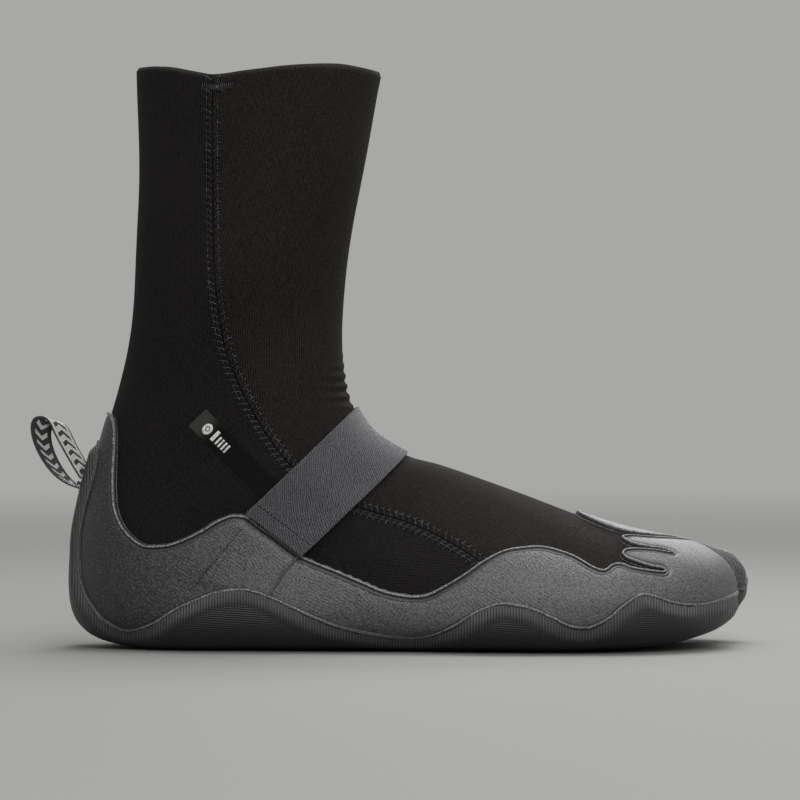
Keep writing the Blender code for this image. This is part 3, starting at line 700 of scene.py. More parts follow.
def in_outline(station, angle, outline):
    """Which grid points lie inside a closed outline in station and angle."""
    inside = np.zeros(station.shape, bool)
    for (s0, a0), (s1, a1) in zip(outline, np.roll(outline, -1, axis=0)):
        if s0 == s1:
            continue
        crosses = (s0 > station) != (s1 > station)
        inside ^= crosses & (angle < (a1 - a0) * (station - s0) / (s1 - s0) + a0)
    return inside


def from_edge(points, station, angle, line):
    """Signed distance from an edge line, positive on the covered side, and the place along the line."""
    place = last_surface(line[:, 0], line[:, 1])
    tree = KDTree(len(place))
    for n, point in enumerate(place):
        tree.insert(point, n)
    tree.balance()
    flat = points.reshape(-1, 3)
    found = [tree.find(point)[1:] for point in flat]
    near = np.array([f[0] for f in found]).reshape(station.shape)
    distance = np.array([f[1] for f in found]).reshape(station.shape)
    coarse = line[::3]
    bare = np.vstack((coarse, [(line[-1, 0], math.pi + 0.01), (-1, math.pi + 0.01),
                               (-1, -math.pi - 0.01), (line[0, 0], -math.pi - 0.01)]))
    return np.where(in_outline(station, angle, bare), -distance, distance), near * EDGE_STEP


def delete_where(obj, hidden):
    """Deletes the faces whose corners are all marked."""
    select_only(obj)
    mesh = obj.data
    corners = np.empty(len(mesh.loops), np.int32)
    mesh.loops.foreach_get("vertex_index", corners)
    chosen = hidden.ravel()[corners].reshape(-1, 4).all(axis=1)
    mesh.polygons.foreach_set("select", chosen)
    bpy.ops.object.mode_set(mode="EDIT")
    bpy.ops.mesh.select_mode(type="FACE")
    bpy.ops.object.mode_set(mode="OBJECT")
    mesh.polygons.foreach_set("select", chosen)
    bpy.ops.object.mode_set(mode="EDIT")
    bpy.ops.mesh.delete(type="FACE")
    bpy.ops.object.mode_set(mode="OBJECT")


def foot_grid(first, rows, cols):
    """Rows down the heel, along the sole and over the nose, with columns all the way round."""
    keys = np.array([4.6, 6, 7, 8, 9, 9.6, 10, 11, 12, 13, 14, 15, 16, 17, 18, 18.35, 18.7, 19.0])
    back = last_surface(keys, math.pi)
    run = np.concatenate(([0], np.cumsum(np.linalg.norm(np.diff(back, axis=0), axis=1) + 2 * MM)))
    station = np.interp(np.linspace(np.interp(first, keys, run), run[-1], rows), run, keys)
    station, angle = np.meshgrid(station, np.linspace(-math.pi, math.pi, cols), indexing="ij")
    return station, angle


def rim(name, line, profile, cover, material, body, slot):
    """A moulded strip along an edge line. The profile gives places across it and heights, in mm."""
    place = last_surface(line[:, 0], line[:, 1])
    normal = last_normal(line[:, 0], line[:, 1])
    wide = across_line(place, normal)
    for _ in range(3):
        wide[1:-1] = (wide[:-2] + 2 * wide[1:-1] + wide[2:]) / 4
    profile = np.array(profile) * MM
    points = place[:, None] - wide[:, None] * profile[None, :, :1] + normal[:, None] * profile[None, :, 1:]
    along = np.arange(len(line))[:, None] * EDGE_STEP * np.ones((1, len(profile)))
    uv = np.stack((along, profile[None, :, 0] * np.ones((len(line), 1))), -1)
    strip = sheet(name, split_toe(points, cover), uv, out=np.broadcast_to(normal[:, None], points.shape))
    return finish(strip, material, body, slot)


def moulded_rubber(name, dark, light, roughness, grain):
    """Satin moulded rubber: a fine wavy grain that breaks up into speckle, and painted shade that darkens it
    towards the heel.
    """
    material, tree, shader = new_material(name, dark, roughness)
    coords = tree.nodes.new("ShaderNodeTexCoord")
    place = coords.outputs["Object"]
    bent = noise(tree, place, 45.0, 2.0)
    x, _, z = split(tree, place)
    slant = maths(tree, "MULTIPLY_ADD", z, 0.8, maths(tree, "MULTIPLY", x, 0.6))
    slant = maths(tree, "MULTIPLY_ADD", bent, 12 * MM, slant)
    lines = ribs(tree, slant, 1.25 * MM)
    speckle = noise(tree, place, 1500.0, 3.0)
    coarse = noise(tree, place, 600.0, 2.0)
    cloud = noise(tree, place, 24.0, 4.0)
    broken = maths(tree, "MULTIPLY", lines, maths(tree, "MULTIPLY", coarse, coarse))
    height = maths(tree, "MULTIPLY_ADD", broken, 0.75, speckle)
    bump(tree, shader, height, grain, 1.0)
    # Painted shade: the colour darkens towards the heel, down to 0.72 of itself at the back, standing in for
    # the shade that falls on the heel.
    painted_shading = tree.nodes.new("ShaderNodeMapRange")
    painted_shading.inputs["From Min"].default_value = HEEL_X + 20 * MM
    painted_shading.inputs["From Max"].default_value = HEEL_X + 90 * MM
    painted_shading.inputs["To Min"].default_value = 0.72
    tree.links.new(x, painted_shading.inputs["Value"])
    tone = maths(tree, "MULTIPLY_ADD", speckle, 0.95, maths(tree, "MULTIPLY", cloud, 0.16))
    tone = maths(tree, "MULTIPLY_ADD", broken, 0.18, tone)
    tone = maths(tree, "MULTIPLY", tone, painted_shading.outputs[0])
    tree.links.new(ramp(tree, tone, [(0.40, dark), (0.70, light)]), shader.inputs["Base Color"])
    shader.inputs["Specular IOR Level"].default_value = 0.55
    rough = maths(tree, "MULTIPLY_ADD", cloud, 0.25, roughness - 0.1)
    tree.links.new(rough, shader.inputs["Roughness"])
    return material


def painted_highlight_strip():
    """A strip with a painted highlight along the top of its bead and painted shade in the groove beside it.
    """
    black, white = (0, 0, 0), (1, 1, 1)
    group, given, made = shared_effect("painted_highlight_strip", {"Groove shade": black, "Dark": black, "Light": white})
    coords = group.nodes.new("ShaderNodeTexCoord").outputs
    _, across, _ = split(group, coords["UV"])
    speckle = noise(group, coords["Object"], 1700.0, 3.0)
    group.links.new(speckle, made["Height"])
    # Painted highlight and painted shade across the strip: a light band on the bead's top, a black band in
    # the groove, then grey.
    wear_and_painted_light = ramp(group, maths(group, "MULTIPLY_ADD", across, 250.0, 0.1),
                  [(0.05, (0.05, 0.05, 0.05)), (0.17, white), (0.30, white), (0.39, black), (0.52, black),
                   (0.62, (0.45, 0.45, 0.45))])
    tone = maths(group, "MULTIPLY", wear_and_painted_light, maths(group, "MULTIPLY_ADD", speckle, 1.8, -0.35))
    colour = shade(group, span_of(group, tone, 0.0, 0.35), given["Groove shade"], given["Dark"])
    colour = shade(group, span_of(group, tone, 0.35, 0.95), colour, given["Light"])
    group.links.new(colour, made["Colour"])
    return group


strip_effect = painted_highlight_strip()


# Rim rubber with a painted highlight on its bead and painted shade in its groove.
def rim_rubber(name, dark, light, groove_shade):
    material, tree, shader = new_material(name, dark, 0.42)
    use_effect(tree, shader, strip_effect, 0.16 * MM, 1.0, {"Groove shade": groove_shade, "Dark": dark, "Light": light})
    return material


rubber = moulded_rubber("moulded_rubber", (0.012, 0.012, 0.0122), (0.115, 0.115, 0.116), 0.42, 0.22 * MM)
# The rubber foot's rim, with its painted highlight and painted groove shade.
painted_highlight_rim = rim_rubber("rim_painted_highlight", (0.055, 0.055, 0.055), (0.40, 0.40, 0.395), (0.005, 0.005, 0.005))

outer_keys = np.vstack(([(0, -math.pi)], chart(SIDE_EDGE, -1), chart(LOW_SLIT, -1), chart(LOW_SLIT_BACK, -1),
                        from_above(TOP_TIPS)))
inner_keys = np.vstack((chart(SIDE_EDGE[:-2], 1)[::-1], [(0, math.pi)]))
rubber_keys = np.vstack((outer_keys, inner_keys))
RUBBER_HEEL_TOP = 0.404 * HEIGHT
heel_rows = np.linspace(4, 7, 301)
heel_heights = last_surface(heel_rows, math.pi)[:, 2]
rubber_keys[[0, -1], 0] = np.interp(-RUBBER_HEEL_TOP, -heel_heights, heel_rows)
rubber_line = edge_line(rubber_keys)

ANCHOR = [(0.262, 0.243), (0.340, 0.171), (0.307, 0.128), (0.292, 0.095), (0.192, 0.121), (0.222, 0.170)]


def beside(points, corners):
    """How far side-view points lie inside an outline, negative outside."""
    corners = side(corners)
    flat = points[..., [0, 2]]
    gap = np.full(flat.shape[:-1], 1e9)
    inside = in_outline(flat[..., 1], flat[..., 0], corners[:, ::-1])
    for a, b in zip(corners, np.roll(corners, -1, axis=0)):
        t = np.clip(((flat - a) @ (b - a)) / ((b - a) @ (b - a)), 0, 1)[..., None]
        gap = np.minimum(gap, np.linalg.norm(flat - a - (b - a) * t, axis=-1))
    return np.where(inside, gap, -gap)


station, angle = foot_grid(4.7, 290, 280)
base = last_surface(station, angle)
from_rim, along_rim = from_edge(base, station, angle, rubber_line)
height = (-1.0 + 2.2 * np.clip((from_rim / MM + 1.0) / 1.4, 0, 1)) * MM
height += 0.7 * MM * rise(from_rim, 2.0 * MM, 3.1 * MM)
over_anchor = rise(beside(base, ANCHOR), -0.9 * MM, 0.9 * MM)
height += 0.5 * MM * over_anchor * rise(from_rim, 1.5 * MM, 3.5 * MM)
points = lay(station, angle, height)
points[-1] = points[-2].mean(axis=0)
uv = np.stack((along_rim, from_rim), -1)
shell = sheet("rubber_shell", split_toe(points, 1.5 * MM), uv, out=last_normal(station, angle))
delete_where(shell, from_rim < -1.0 * MM)
weld(shell)
finish(shell, rubber, "boot", "rubber", "rubber_foot")
rolled = [(-0.15, -0.6), (-0.15, 0.7), (-0.02, 1.5), (0.25, 2.0), (0.65, 2.2), (1.05, 2.05),
          (1.35, 1.6), (1.6, 1.45), (1.85, 1.6), (2.4, 1.88), (2.9, 1.9), (3.3, 1.5)]
rim("rubber_rim", rubber_line, rolled, 1.7 * MM, painted_highlight_rim, "boot", "rubber")
ridge = [(-0.8, 1.5), (-0.5, 2.5), (-0.15, 3.0), (0.15, 3.05), (0.4, 2.6), (0.6, 1.5)]
RIDGES = {
    "front": [(0.346, 0.175), (0.330, 0.154), (0.314, 0.132), (0.303, 0.112), (0.296, 0.099)],
    "rear": [(0.254, 0.212), (0.236, 0.184), (0.218, 0.160), (0.203, 0.139), (0.191, 0.120)],
}
for hand, where in ((-1, "outer"), (1, "inner")):
    for name, corners in RIDGES.items():
        line = edge_line(chart(corners, hand))
        rim(f"{where}_{name}_ridge", line, ridge, 1.5 * MM, rubber, "boot", "rubber")

# ---------------------------------------------------------------------------
# Outsole
# A moulded sole of harder rubber under the foot and up the heel. Short ribs
# hang under its wavy edge, finer ribs run along below them, and a second
# step wraps the toe.
# ---------------------------------------------------------------------------
SOLE_SIDE = [
    (0.0500, 0.3400), (0.0470, 0.3150), (0.0400, 0.2750), (0.0300, 0.2300), (0.0240, 0.1800),
    (0.0240, 0.1400), (0.0300, 0.1070), (0.0430, 0.0790), (0.061, 0.056), (0.090, 0.044),
    (0.127, 0.056), (0.164, 0.081), (0.215, 0.105),
    (0.249, 0.111), (0.274, 0.108), (0.303, 0.096), (0.333, 0.081), (0.362, 0.067), (0.399, 0.053),
    (0.443, 0.042), (0.487, 0.036), (0.524, 0.040), (0.561, 0.055), (0.583, 0.0685), (0.601, 0.079),
    (0.620, 0.087), (0.641, 0.089), (0.663, 0.085), (0.685, 0.077), (0.708, 0.066), (0.730, 0.056),
    (0.752, 0.054), (0.774, 0.063), (0.791, 0.077), (0.807, 0.090), (0.828, 0.1025), (0.847, 0.100),
    (0.867, 0.0925), (0.890, 0.087), (0.915, 0.086), (0.943, 0.090), (0.962, 0.093),
]
TOE_STEP = [
    (0.660, -0.02), (0.693, 0.0095), (0.744, 0.018), (0.803, 0.0286), (0.8545, 0.0356), (0.891, 0.046),
    (0.928, 0.058), (0.957, 0.068), (1.02, 0.080), (1.02, -0.1), (0.660, -0.1),
]
NOSE_FRONT = [(0.10, 0.0960), (0.15, 0.0995), (0.20, 0.1050), (0.24, 0.1090), (0.28, 0.1100), (0.32, 0.1075),
              (0.36, 0.1000)]
SOLE_HEEL_TOP = 0.354 * HEIGHT
GROUND_GAP = 0.15 * MM


def ribbed_sole():
    """Upright ribs under the wavy edge, level ribs below them, and cross ribs under the foot."""
    material, tree, shader = new_material("ribbed_sole_rubber", (0.018, 0.018, 0.0175), 0.5)
    coords = tree.nodes.new("ShaderNodeTexCoord")
    place = coords.outputs["Object"]
    x, _, z = split(tree, place)
    _, inside, _ = split(tree, coords.outputs["UV"])
    speckle = noise(tree, place, 1500.0, 3.0)
    upright = ribs(tree, x, 1.2 * MM)
    level = ribs(tree, maths(tree, "MULTIPLY_ADD", x, 0.06, z), 0.95 * MM)
    cross = ribs(tree, x, 4.0 * MM)

    def blend(first, second, part):
        return maths(tree, "MULTIPLY_ADD", maths(tree, "SUBTRACT", second, first), part, first)

    under_edge = span_of(tree, inside, 5.6 * MM, 7.6 * MM, "SMOOTHSTEP")
    off_ground = span_of(tree, z, 0.8 * MM, 2.2 * MM, "SMOOTHSTEP")
    height = blend(upright, maths(tree, "MULTIPLY", level, 0.55), under_edge)
    height = blend(maths(tree, "MULTIPLY", cross, 1.6), height, off_ground)
    bump(tree, shader, maths(tree, "MULTIPLY_ADD", speckle, 0.45, height), 0.36 * MM, 1.0)
    # Painted light: the sole is lighter along its top edge and darker further down and underneath, as if lit
    # from above.
    painted_shading = maths(tree, "SUBTRACT", 1.0, span_of(tree, inside, 0.8 * MM, 7.0 * MM, "SMOOTHSTEP"))
    tone = maths(tree, "MULTIPLY_ADD", speckle, 0.6, maths(tree, "MULTIPLY", height, 0.4))
    tone = maths(tree, "MULTIPLY", tone, maths(tree, "MULTIPLY_ADD", painted_shading, 0.75, 0.45))
    tree.links.new(ramp(tree, tone, [(0.12, (0.007, 0.007, 0.007)), (0.80, (0.085, 0.085, 0.084))]),
                   shader.inputs["Base Color"])
    return material


sole_rubber = ribbed_sole()
nose_s, nose_a = np.meshgrid(np.linspace(17, 18.99, 300), np.linspace(-1.8, 1.8, 500), indexing="ij")
nose_points = last_surface(nose_s, nose_a)
nose = [nearest(np.array((MIDDLE_Y + y * WIDTH, z * HEIGHT)) - nose_points[..., 1:], nose_s, nose_a)
        for y, z in NOSE_FRONT]
sole_keys = np.vstack(([(0, -math.pi)], chart(SOLE_SIDE, -1), nose, chart(SOLE_SIDE, 1)[::-1],
                       [(0, math.pi)]))
sole_keys[[0, -1], 0] = np.interp(-SOLE_HEEL_TOP, -heel_heights, heel_rows)
sole_line = edge_line(sole_keys)
station, angle = foot_grid(5.3, 280, 300)
base = last_surface(station, angle)
from_sole, along = from_edge(base, station, angle, sole_line)
step = rise(beside(base, TOE_STEP), -0.7 * MM, 0.7 * MM)
height = (0.8 + 1.9 * np.clip((from_sole / MM + 0.6) / 1.6, 0, 1)) * MM
height += 2.0 * MM * rise(from_sole, 1.2 * MM, 5.5 * MM)
height += 0.5 * MM * step
points = lay(station, angle, height)
points[-1] = points[-2].mean(axis=0)
points[..., 2] = np.maximum(points[..., 2], GROUND_GAP)
uv = np.stack((along, from_sole), -1)
sole = sheet("ribbed_sole", split_toe(points, 2.1 * MM), uv, out=last_normal(station, angle))
delete_where(sole, from_sole < -0.6 * MM)
weld(sole)
finish(sole, sole_rubber, "boot", "sole_rubber", "outsole")
# The sole's rim, with a painted highlight on its top and painted shade in its groove.
sole_rim = rim_rubber("sole_rim_painted_highlight", (0.045, 0.045, 0.045), (0.36, 0.36, 0.355), (0.006, 0.006, 0.006))
rim("sole_rim", sole_line, [(-0.35, 1.2), (-0.30, 2.0), (-0.15, 2.4), (0.1, 2.65), (0.4, 2.75), (0.75, 2.7),
                            (1.1, 2.6), (1.5, 2.65), (1.9, 2.6)], 2.2 * MM, sole_rim, "boot", "sole_rubber")

# ---------------------------------------------------------------------------
# Instep strap
# 30 mm napped webbing, sewn down inside the foot, over the instep and held on
# the outer side by hook and loop. Its end is turned under and stitched.
# ---------------------------------------------------------------------------
STRAP_UP = np.array((0.7237, 0.6901))
STRAP_WIDE = np.array((0.6901, -0.7237))
rear_edge = side([(0.4137, 0.4085)])[0] @ STRAP_WIDE
front_edge = side([(0.4925, 0.3300)])[0] @ STRAP_WIDE
HEM = side([(0.2610, 0.2385), (0.3395, 0.1665)])
INNER_END = side([(0.235, 0.215), (0.313, 0.143)])
WEBBING = 1.6 * MM

fine_s = np.linspace(6, 14.5, 700)
fine_a = np.linspace(-2.75, 2.75, 331)
strap_s, strap_a = np.meshgrid(fine_s, fine_a, indexing="ij")
strap_field = last_surface(strap_s, strap_a)
strap_across = strap_field[..., [0, 2]] @ STRAP_WIDE


def strap_line(across):
    """The line over the foot at one place across the strap: its length from the crest, station and angle."""
    station = np.array([np.interp(across, strap_across[:, n], fine_s) for n in range(len(fine_a))])
    points = last_surface(station, fine_a)
    run = run_along(points)
    run -= np.interp(0, fine_a, run)
    return run, station, points[:, [0, 2]] @ STRAP_UP


def strap_grid(width, outer_end, inner_end, rows, from_end=None):
    """Station, angle and length for a grid on the strap, from its outer end to its inner one.
    width gives its two edges in parts. from_end keeps only that much of the length from an end, in metres."""
    result = []
    for part in np.linspace(width[0], width[1], 21):
        across = rear_edge + (front_edge - rear_edge) * part
        run, station, up = strap_line(across)
        half = len(fine_a) // 2
        ends = []
        for end, select in ((outer_end, slice(0, half)), (inner_end, slice(half, None))):
            goal = (end[0] + (end[1] - end[0]) * part) @ STRAP_UP
            order = np.argsort(up[select])
            ends.append(np.interp(goal, up[select][order], run[select][order]))
        low, high = ends
        if from_end is not None:
            low, high = low + from_end[0], low + from_end[1]
        at = np.linspace(low, high, rows)
        result.append(np.column_stack((np.interp(at, run, station), np.interp(at, run, fine_a), at)))
    return np.moveaxis(np.array(result), 1, 0)


def soften(obj, width, segments=2):
    """Rounds the cut edges of a thickened sheet."""
    select_only(obj)
    modifier = obj.modifiers.new("soft_edge", "BEVEL")
    modifier.width = width
    modifier.segments = segments
    modifier.limit_method = "ANGLE"
    modifier.angle_limit = math.radians(50)
    bpy.ops.object.modifier_apply(modifier=modifier.name)
    bpy.ops.object.shade_smooth_by_angle(angle=math.radians(40))


def strap_sheet(name, grid, low, thickness, material, edge=None, rounded=0.35 * MM):
    """A strip lying on the strap's grid: low gives its underside's height, one for each row."""
    low = np.broadcast_to(np.asarray(low, float).reshape(-1, 1), grid.shape[:2])
    points = lay(grid[..., 0], grid[..., 1], low)
    wide = np.linspace(0, 1, grid.shape[1])[None, :] * abs(front_edge - rear_edge) * np.ones((len(grid), 1))
    uv = np.stack((wide, grid[..., 2]), -1)
    piece = sheet(name, points, uv, out=last_normal(grid[..., 0], grid[..., 1]))
    piece.data.materials.clear()
    piece.data.materials.append(material)
    if edge is not None:
        piece.data.materials.append(edge)
    thicken(piece, thickness, 1.0, edge_slot=0 if edge is None else 1)
    if rounded:
        soften(piece, rounded)
    return piece


def napped_weave():
    """A slanting weave under a short nap."""
    defaults = {"Weave": 1.0 * MM, "Dark": (0, 0, 0), "Light": (1, 1, 1)}
    group, given, made = shared_effect("napped_weave", defaults)
    coords = group.nodes.new("ShaderNodeTexCoord").outputs
    across, along, _ = split(group, coords["UV"])
    wander = noise(group, coords["Object"], 500.0, 2.0)
    slant = maths(group, "ADD", along, maths(group, "MULTIPLY", across, 0.75))
    slant = maths(group, "MULTIPLY_ADD", wander, maths(group, "MULTIPLY", given["Weave"], 1.6), slant)
    twill = ribs(group, slant, given["Weave"])
    cross = maths(group, "MULTIPLY_ADD", wander, given["Weave"], across)
    cross = ribs(group, cross, maths(group, "MULTIPLY", given["Weave"], 0.8))
    fuzz = noise(group, coords["Object"], 2400.0, 4.0)
    height = maths(group, "MULTIPLY_ADD", twill, 0.6, maths(group, "MULTIPLY_ADD", cross, 0.3, fuzz))
    group.links.new(height, made["Height"])
    tone = maths(group, "MULTIPLY_ADD", fuzz, 0.75, maths(group, "MULTIPLY", twill, 0.25))
    colour = shade(group, span_of(group, tone, 0.36, 0.70), given["Dark"], given["Light"])
    group.links.new(colour, made["Colour"])
    return group


nap_effect = napped_weave()


def napped(name, dark, light, weave):
    material, tree, shader = new_material(name, dark, 0.9)
    use_effect(tree, shader, nap_effect, 0.28 * MM, 0.9, {"Weave": weave, "Dark": dark, "Light": light})
    shader.inputs["Sheen Weight"].default_value = 0.35
    shader.inputs["Sheen Roughness"].default_value = 0.5
    shader.inputs["Specular IOR Level"].default_value = 0.2
    return material


webbing = napped("napped_webbing", (0.014, 0.0145, 0.016), (0.115, 0.118, 0.128), 1.1 * MM)
webbing_edge = napped("webbing_edge", (0.006, 0.006, 0.006), (0.022, 0.022, 0.023), 0.8 * MM)
loop_pile = napped("loop_pile", (0.007, 0.007, 0.008), (0.040, 0.040, 0.043), 1.3 * MM)

whole = strap_grid((0, 1), HEM, INNER_END, 221)
length = whole[:, 10, 2]
lift = (0.35 + 1.75 * rise(-length, 34 * MM, 52 * MM) + 1.5 * rise(length, 44 * MM, 60 * MM)) * MM
lift += 1.1 * MM * rise(-length, -length[0] - 9 * MM, -length[0])
middle_row = int(np.argmin(np.abs(length - 2 * MM)))
outer_half = strap_sheet("strap_outer_run", whole[:middle_row + 1], lift[:middle_row + 1], WEBBING, webbing,
                         webbing_edge)
inner_half = strap_sheet("strap_inner_run", whole[middle_row:], lift[middle_row:], WEBBING, webbing,
                         webbing_edge)
hem = strap_grid((-0.004, 1.004), HEM, HEM, 11, from_end=(-0.3 * MM, 5.4 * MM))
hem_band = strap_sheet("strap_hem", hem, lift[0] + WEBBING - 0.1 * MM, 1.3 * MM, webbing,
                       webbing_edge)
patch = strap_grid((0.06, 0.94), HEM, HEM, 21, from_end=(1.0 * MM, 20 * MM))
hook = strap_sheet("hook_pile", patch, lift[0] - 0.35 * MM, 0.32 * MM, loop_pile, rounded=None)


def at_length(distance):
    n = int(np.argmin(np.abs(length - distance)))
    return Vector(last_surface(whole[n, 10, 0], whole[n, 10, 1]))


joint_place = {j["name"]: Vector(j["pos_m"]) for j in frame["record"]["behaviour"]["joints"]}


def fold_length(joint):
    """How far along the strap a fold lies."""
    place = last_surface(whole[:, 10, 0], whole[:, 10, 1])
    return length[int(np.argmin(np.abs(place[:, 1] - joint_place[joint].y)))]


peel, swing = fold_length("strap_peel"), fold_length("strap_lift")
at_length(peel + 3 * MM)
at_length(peel - 3 * MM)
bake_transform(outer_half)
at_length(swing + 3 * MM)
at_length(swing - 3 * MM)
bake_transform(inner_half)
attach(hem_band, "tab")
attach(hook, "tab")
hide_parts("strap_tab", "strap_crown")
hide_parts("strap_inner", "strap_crown")
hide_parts("strap_tab")
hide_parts("hook_patch")

needle = strap_grid((0.03, 0.97), HEM, HEM, 2, from_end=(6.0 * MM, 6.1 * MM))[0]
points = lay(needle[:, 0], needle[:, 1], lift[0] + WEBBING + 0.05 * MM)
fine = np.linspace(0, len(points) - 1, 60)
points = np.column_stack([np.interp(fine, np.arange(len(points)), points[:, k]) for k in range(3)])
runs = [points[n:n + 4] + np.array([[0, 0, 0], [0, -0.12, 0.06], [0, -0.12, 0.06], [0, 0, 0]]) * MM
        for n in range(0, 57, 4)]
threads("hem_stitches", runs, 0.34 * MM, thread, "tab", "thread", "hem_thread")

# The loop pile that the strap's end presses on, sewn flat to the boot
LOOP_PATCH = [(0.292, 0.268), (0.366, 0.199), (0.320, 0.150), (0.238, 0.196)]


def between_corners(corners, down, over):
    """Places inside four corners, in parts of the way down and over."""
    down, over = down[..., None], over[..., None]
    return ((corners[0] * (1 - over) + corners[1] * over) * (1 - down)
            + (corners[3] * (1 - over) + corners[2] * over) * down)


for side_name, hand in (("outer", -1), ("inner", 1)):
    down, over = np.meshgrid(np.linspace(0, 1, 40), np.linspace(0, 1, 24), indexing="ij")
    place = between_corners(chart(LOOP_PATCH, hand), down, over)
    points = lay(place[..., 0], place[..., 1], 0.05 * MM)
    flat = np.stack((over * 30 * MM, down * 26 * MM), -1)
    base_patch = sheet(f"{side_name}_loop_patch", points, flat, out=last_normal(place[..., 0], place[..., 1]))
    thicken(base_patch, 0.7 * MM, 1.0)
    finish(base_patch, loop_pile, "boot", "loop_fabric", f"{side_name}_strap_anchor")

# ---------------------------------------------------------------------------
# Size label
# A satin-woven tape, heat-pressed on the outer side and running down under
# the strap, printed in white with a plain ring, a dot and bars.
# ---------------------------------------------------------------------------
LABEL = [(0.1785, 0.386), (0.2040, 0.4150), (0.3080, 0.2900), (0.2860, 0.2620)]
label_corners = side(LABEL)


def on_label(down, over, height):
    """Points on the tape, in parts of its length and width."""
    place = between_corners(label_corners, down, over)
    station, angle = on_last(place.reshape(-1, 2), -1)
    station, angle = station.reshape(down.shape), angle.reshape(down.shape)
    return lay(station, angle, height), last_normal(station, angle)


satin, tree, shader = new_material("satin_tape", (0.010, 0.010, 0.009), 0.5)
shader.inputs["Specular IOR Level"].default_value = 0.06
coords = tree.nodes.new("ShaderNodeTexCoord")
over, down, _ = split(tree, coords.outputs["UV"])
weave = maths(tree, "MULTIPLY", ribs(tree, down, 0.5 * MM), ribs(tree, over, 0.5 * MM))
bump(tree, shader, weave, 0.05 * MM)
end = tree.nodes.new("ShaderNodeMapRange")
end.interpolation_type = "SMOOTHSTEP"
for socket, value in zip(("From Min", "From Max", "To Min", "To Max"), (3.0 * MM, 12 * MM, 1.0, 0.0)):
    end.inputs[socket].default_value = value
tree.links.new(down, end.inputs["Value"])
faded_weave = maths(tree, "MULTIPLY_ADD", weave, 0.12, end.outputs[0])
tree.links.new(ramp(tree, faded_weave, [(0.05, (0.0036, 0.0034, 0.0034)), (1.0, (0.040, 0.041, 0.036))]),
               shader.inputs["Base Color"])

down, over = np.meshgrid(np.linspace(0, 1, 90), np.linspace(0, 1, 22), indexing="ij")
points, normal = on_label(down, over, 0.08 * MM)
tape = sheet("satin_label", points, np.stack((over * 11 * MM, down * 48 * MM), -1), out=normal)
thicken(tape, 0.35 * MM, 1.0)
soften(tape, 0.12 * MM, 1)
finish(tape, satin, "boot", "satin_tape", "size_label")

print_white, tree, shader = new_material("white_print", (0.62, 0.62, 0.58), 0.6)
coords = tree.nodes.new("ShaderNodeTexCoord")
wear = noise(tree, coords.outputs["Object"], 900.0, 4.0)
tree.links.new(ramp(tree, wear, [(0.30, (0.30, 0.30, 0.28)), (0.5, (0.66, 0.66, 0.62))]),
               shader.inputs["Base Color"])
turn, out_from = np.meshgrid(np.linspace(0, 2 * math.pi, 41), np.linspace(0.45, 1, 4), indexing="ij")
inner_part = (out_from - 0.45) / 0.55
marks = [(0.150 + 0.046 * out_from * np.cos(turn), 0.47 + 0.25 * out_from * np.sin(turn), "ring"),
         (0.150 + 0.014 * inner_part * np.cos(turn), 0.47 + 0.075 * inner_part * np.sin(turn), "dot")]
for number, (first, last, low, high) in enumerate([(0.232, 0.268, 0.24, 0.74), (0.292, 0.312, 0.24, 0.64),
                                                   (0.330, 0.350, 0.24, 0.64), (0.368, 0.388, 0.24, 0.64),
                                                   (0.406, 0.426, 0.24, 0.64)]):
    a, b = np.meshgrid(np.linspace(first, last, 5), np.linspace(low, high, 9), indexing="ij")
    marks.append((a, b, f"bar_{number}"))
for a, b, name in marks:
    points, normal = on_label(a, b, 0.46 * MM)
    mark = sheet(f"label_{name}", points, out=normal)
    thicken(mark, 0.04 * MM, 1.0)
    finish(mark, print_white, "boot", "satin_tape")

# ---------------------------------------------------------------------------
# Pull loop
# One turn of printed ribbon sewn into the heel, to pull the boot on by. The
# ribbon is pale with dark chevrons outside and dark inside.
# ---------------------------------------------------------------------------
LOOP = [
    (0.0300, 0.2860), (0.0185, 0.3080), (0.0045, 0.3370), (-0.0070, 0.3620), (-0.0150, 0.3820),
    (-0.0225, 0.3915), (-0.0320, 0.3930), (-0.0400, 0.3870), (-0.0430, 0.3710), (-0.0385, 0.3450),
    (-0.0260, 0.3150), (-0.0090, 0.2900), (0.0110, 0.2740), (0.0270, 0.2680),
]
RIBBON = 10.5 * MM


def woven_chevrons():
    """A woven ribbon with a row of chevrons down its middle and a cord along each edge."""
    defaults = {"Ground": (1, 1, 1), "Mark": (0, 0, 0), "Edge": (0, 0, 0)}
    group, given, made = shared_effect("woven_chevrons", defaults)
    across, along, _ = split(group, group.nodes.new("ShaderNodeTexCoord").outputs["UV"])
    from_middle = maths(group, "ABSOLUTE", across)
    slant = maths(group, "MULTIPLY_ADD", from_middle, 0.8, along)
    chevron = maths(group, "GREATER_THAN", ribs(group, slant, 4.6 * MM), 0.62)
    inside = maths(group, "LESS_THAN", from_middle, 3.1 * MM)
    cord_edge = maths(group, "GREATER_THAN", from_middle, 4.5 * MM)
    weave = maths(group, "MULTIPLY", ribs(group, along, 0.45 * MM), ribs(group, across, 0.45 * MM))
    group.links.new(weave, made["Height"])
    colour = shade(group, maths(group, "MULTIPLY", chevron, inside), given["Ground"], given["Mark"])
    group.links.new(shade(group, cord_edge, colour, given["Edge"]), made["Colour"])
    return group


chevron_effect = woven_chevrons()


def ribbon_material(name, ground, mark, edge):
    material, tree, shader = new_material(name, ground, 0.55)
    use_effect(tree, shader, chevron_effect, 0.08 * MM, 1.0, {"Ground": ground, "Mark": mark, "Edge": edge})
    shader.inputs["Sheen Weight"].default_value = 0.2
    return material


pale_ribbon = ribbon_material("pale_ribbon", (0.50, 0.50, 0.48), (0.012, 0.012, 0.012), (0.02, 0.02, 0.02))
dark_ribbon = ribbon_material("dark_ribbon", (0.012, 0.012, 0.013), (0.42, 0.42, 0.40), (0.02, 0.02, 0.02))
TILT = math.radians(58)
width_line = np.array((-math.sin(TILT) * 0.93, -math.cos(TILT), math.sin(TILT) * 0.37))


